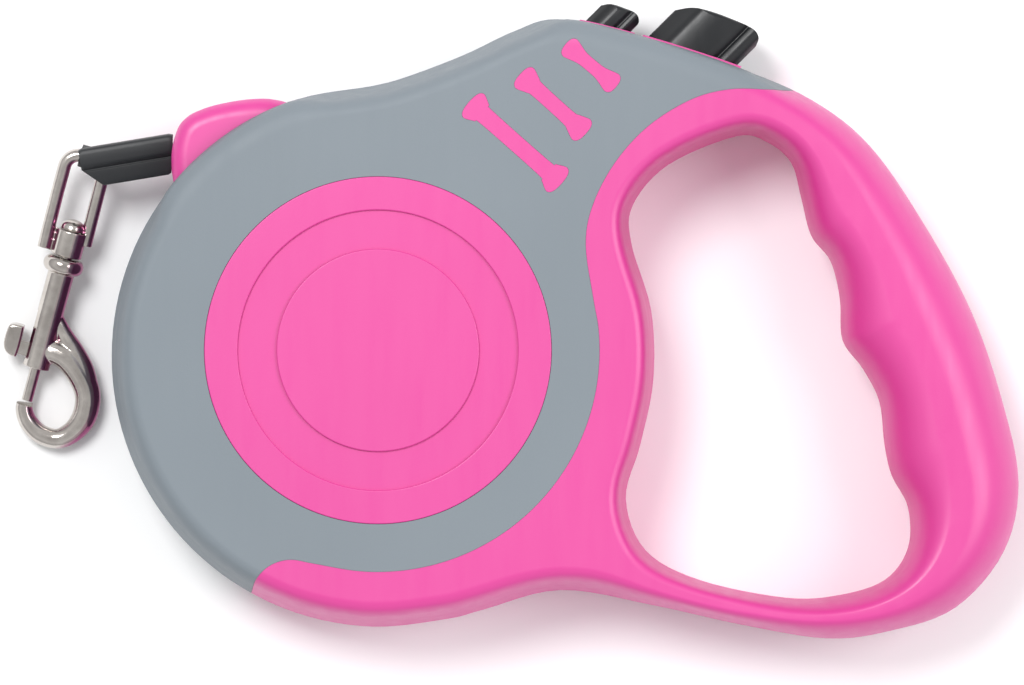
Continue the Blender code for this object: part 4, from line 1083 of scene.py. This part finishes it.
def thumb_button(name, button):
    """A button with its stem: its outline from the front, crossed with its profile along the travel."""
    (left, right), foot = button["sides"], button["foot"]
    outline = [(foot, left)] + smooth_open(button["top"], 6) + [(foot, right)]
    outline = [travel_frame(s, t) for s, t in outline]
    half = max(height for _, height in button["profile"])
    made = prism(name, [outline], MIDDLE - half, MIDDLE + half, BUTTON_ROUNDING, 5)
    profile = smooth_open(button["profile"], 5)
    profile += [(t, -height) for t, height in profile[::-1]]
    across = prism("across", [profile], *BUTTON_SPAN)
    to_travel = Matrix(((0, 0, 1, 0), (1, 0, 0, 0), (0, 1, 0, 0), (0, 0, 0, 1)))
    across.data.transform(Matrix.Translation((0, 0, MIDDLE * MM)) @ travel_matrix() @ to_travel)
    keep(made, across)
    edge_softened(made, 0.35, 50.0, 3)
    width, tall = button["stem"]
    middle = (left + right) / 2
    low, high, end = middle - width / 2, middle + width / 2, button["stem_end"]
    shape = [travel_frame(s, t) for s, t in [(foot + 4, low), (end, low), (end, high), (foot + 4, high)]]
    join(made, prism(name + "_stem", [shape], MIDDLE - tall / 2, MIDDLE + tall / 2))
    return shaded(made, 40.0)


def buttons():
    place_piece(thumb_button("brake_thumb", BRAKE), BLACK, "brake", "brake_button", slot="black_button")
    place_piece(thumb_button("lock_thumb", LOCK), BLACK, "lock", "lock_button", slot="black_button")


# ---------------------------------------------------------------- snap hook

def hook_frame():
    place = Matrix.Translation(Vector(HOOK_AT) * MM)
    return place @ Matrix.Rotation(HOOK_TURN, 4, "Z") @ Matrix.Rotation(HOOK_TILT, 4, "X")


def set_in_hook(obj):
    obj.data.transform(hook_frame())
    return obj


def eye():
    """A square bail of round wire on a collar that turns on the rivet."""
    left, right = EYE_SIDES
    corner, top = EYE_CORNER, EYE_TOP
    path = [(left + 0.2, 1.7), (left + 0.1, 6.0), (left, 12.0), (left, top - corner)]
    path += arc(corner, math.pi, math.pi / 2, 12, (left + corner, top - corner))[1:]
    path += arc(corner, math.pi / 2, 0.0, 12, (right - corner, top - corner))
    path += [(right + 0.1, 10.0), (right + 0.2, 4.0)]
    bail = wire("swivel_eye", [(x, y, 0.0) for x, y in path], EYE_WIRE)
    radius, low, high = COLLAR
    web = block("collar_web", (left, low + 0.3, -1.0), (right, low + 2.4, 0.3))
    join(bail, rod("collar", radius, low, high), web)
    as_cast(bail, 0.14, 2)
    cut(bail, rod("collar_bore", RIVET_POST + RIVET_PLAY, low - 2, high + 2))
    place_piece(shaded(set_in_hook(bail), 60.0), NICKEL, "eye", "hook_eye", slot="nickel")


def rivet():
    """The domed rivet that holds the hook to the collar, with a low rim round its dome."""
    seat = COLLAR[2] + RIVET_PLAY
    radius, height = RIVET_DOME
    steps = 12
    profile = [(0.0, seat + height)]
    for i in range(1, steps + 1):
        a = math.pi / 2 * (1 - i / steps)
        profile.append((radius * math.cos(a), seat + RIVET_RIM + (height - RIVET_RIM) * math.sin(a)))
    profile += [(radius + 0.12, seat + RIVET_RIM - 0.1), (radius, seat)]
    profile += [(RIVET_POST, seat), (RIVET_POST, RIVET_END), (0.0, RIVET_END)]
    made = laid_along_y(turned("eye_rivet_dome", profile, 64))
    place_piece(shaded(set_in_hook(made), 50.0), NICKEL, "hook", "eye_rivet", slot="nickel")


def tapered(name, line):
    """A round rod along (x, y, radius) points."""
    line = smooth_open(line, 5)
    return wire(name, [(x, y, 0.0) for x, y, _ in line], 1.0, radii=[r for _, _, r in line])


def snap_hook():
    """Barrel, flange and curved hook in one casting, with the bolt's bore and slot."""
    hook = tapered("snap_hook", HOOK_PATH)
    radius, low, high = FLANGE
    flange = laid_along_y(turned("flange", rounded_ring(radius, low, high), 64))
    join(hook, tapered("flank", FLANK), rod("barrel", BARREL, BARREL_END, 0.0), flange)
    as_cast(hook, 0.15, 3)
    cut(
        hook,
        rod("rivet_hole", RIVET_POST + RIVET_PLAY, -1.2, 3.0),
        rod("bolt_bore", BOLT + 0.2, BARREL_END - 1.5, -3.0),
        block("tab_slot", (-4.0, -18.9, -0.85), (0.0, -9.6, 0.85)),
        block("tip_notch", (-3.0, BOLT_END - 0.9, 0.25), (3.0, BOLT_END + 1.0, 4.0)),
    )
    place_piece(shaded(set_in_hook(hook), 60.0), NICKEL, "hook", "hook_body", slot="nickel")


def rounded_ring(radius, low, high, steps=10):
    """Half a rounded rim as a closed profile from the axis."""
    half = (high - low) / 2
    middle = (low + high) / 2
    rim = []
    for i in range(steps + 1):
        a = math.pi / 2 - math.pi * i / steps
        rim.append((radius - half * 0.8 + half * 0.8 * math.cos(a), middle + half * math.sin(a)))
    return [(0.0, high)] + rim + [(0.0, low)]


def hook_bolt():
    """The sliding bolt with its thumb tab on a neck through the barrel's slot."""
    bolt = rod("sliding_bolt", BOLT, BOLT_END, -13.0)
    join(bolt, block("tab_neck", (-4.6, -18.4, -0.6), (0.0, -15.8, 0.6)))
    join(bolt, prism("thumb_tab", [smooth_closed(TAB, 3)], -TAB_HEIGHT / 2, TAB_HEIGHT / 2, 0.55, 4))
    place_piece(shaded(set_in_hook(bolt)), NICKEL, "bolt", "hook_bolt", slot="nickel")


def tape_loop():
    """The tape's end loop round the eye's top bar: a flat strap, its two ends going up into the sleeve."""
    width, thick, room = LOOP
    inner = EYE_WIRE + room
    middle = sum(EYE_SIDES) / 2
    around = [math.radians(degrees) for degrees in range(0, 360, 10)]
    left, right = middle - width / 2, middle + width / 2
    bm = bmesh.new()
    rows = []
    for x in (left, right):
        for radius in (inner, inner + thick):
            circle = [(x, EYE_TOP + radius * math.cos(a), radius * math.sin(a)) for a in around]
            rows.append([bm.verts.new(Vector(point) * MM) for point in circle])
    count = len(around)
    for first, second in ((0, 1), (1, 3), (3, 2), (2, 0)):
        for i in range(count):
            k = (i + 1) % count
            bm.faces.new((rows[first][i], rows[first][k], rows[second][k], rows[second][i]))
    loop = from_bmesh(bm, "end_loop")
    tab_low = (left + 0.2, EYE_TOP - 0.8, inner + 0.1)
    tab_high = (right - 0.2, EYE_TOP + 0.8, 3.4)
    join(loop, block("loop_tab", tab_low, tab_high))
    place_piece(shaded(set_in_hook(loop)), WEBBING, "leash_end", "tape_loop", slot="webbing")


def inner_pieces():
    """The hidden pieces stay the frame's own, with finished materials."""
    finishes = {
        ACETAL: ["spool_drum", "spool_flange", "brake_pawl"],
        STEEL: ["axle", "clock_spring", "spring_cover", "guide_pin_inner", "guide_pin_outer", "brake_spring",
                "lock_spring", "bolt_spring"] + [f"case_screw_{i + 1}" for i in range(SCREWS)],
        WEBBING: ["tape_roll", "tape_run"],
    }
    for finish, names in finishes.items():
        for name in names:
            node = frame["nodes"][name]
            for part in node.material_slots:
                part.material = finish


# ---------------------------------------------------------------- studio

TENT = [(0.02, (0.55, 0.55, 0.56)), (0.62, (1.0, 1.0, 1.0)), (0.98, (0.70, 0.70, 0.70))]


def camera():
    """Straight above the case, far away for an almost parallel view."""
    middle = (24.2, 1.4)
    seen_width = 186.2
    distance = 1800.0
    data = bpy.data.cameras.new("camera")
    data.sensor_width = 36.0
    data.lens = data.sensor_width * distance / seen_width
    data.clip_end = 10.0
    made = bpy.data.objects.new("camera", data)
    made.location = Vector((*middle, MIDDLE + distance)) * MM
    bpy.context.scene.collection.objects.link(made)
    bpy.context.scene.camera = made


def area_light(name, place, size, power):
    """A round light that points at the case. Its place and size are in metres."""
    data = bpy.data.lights.new(name, "AREA")
    data.shape = "DISK"
    data.size = size
    data.energy = power
    made = bpy.data.objects.new(name, data)
    made.location = place
    aim = Vector((0.02, 0.0, 0.0)) - Vector(place)
    made.rotation_euler = aim.to_track_quat("-Z", "Y").to_euler()
    bpy.context.scene.collection.objects.link(made)


def world():
    """A light tent: brightest halfway up, dimmer at the horizon and overhead."""
    made = bpy.data.worlds.new("tent")
    made.use_nodes = True
    tree = made.node_tree
    coordinates = tree.nodes.new("ShaderNodeTexCoord")
    split = tree.nodes.new("ShaderNodeSeparateXYZ")
    ramp = tree.nodes.new("ShaderNodeValToRGB")
    stops = ramp.color_ramp.elements
    stops.new(0.5)
    for stop, (height, colour) in zip(stops, TENT):
        stop.position = height
        stop.color = (*colour, 1.0)
    tree.links.new(coordinates.outputs["Generated"], split.inputs["Vector"])
    tree.links.new(split.outputs["Z"], ramp.inputs["Fac"])
    tree.links.new(ramp.outputs["Color"], tree.nodes["Background"].inputs["Color"])
    tree.nodes["Background"].inputs["Strength"].default_value = 0.76
    bpy.context.scene.world = made


def floor():
    """A plain white floor, just under the case."""
    bm = bmesh.new()
    bmesh.ops.create_grid(bm, x_segments=1, y_segments=1, size=3.0)
    made = from_bmesh(bm, "floor")
    made.location.z = -0.05 * MM
    nodes = Nodes("white_floor")
    nodes.use(base_color=nodes.mixed(nodes.noise(3.0), (0.95, 0.95, 0.955), (0.97, 0.97, 0.97)))
    nodes.shader.inputs["Roughness"].default_value = 0.8
    nodes.shader.inputs["Specular IOR Level"].default_value = 0.1
    made.data.materials.append(nodes.material)


def studio():
    camera()
    world()
    area_light("key", (-0.35, 0.45, 1.1), 0.5, 9.5)
    area_light("fill", (0.9, 0.1, 0.9), 0.8, 7.0)
    floor()
    bpy.context.scene.view_settings.view_transform = "Standard"


studio()
case()
nozzle()
sleeve()
tape_line()
buttons()
eye()
rivet()
snap_hook()
hook_bolt()
tape_loop()
inner_pieces()

bpy.context.view_layer.update()
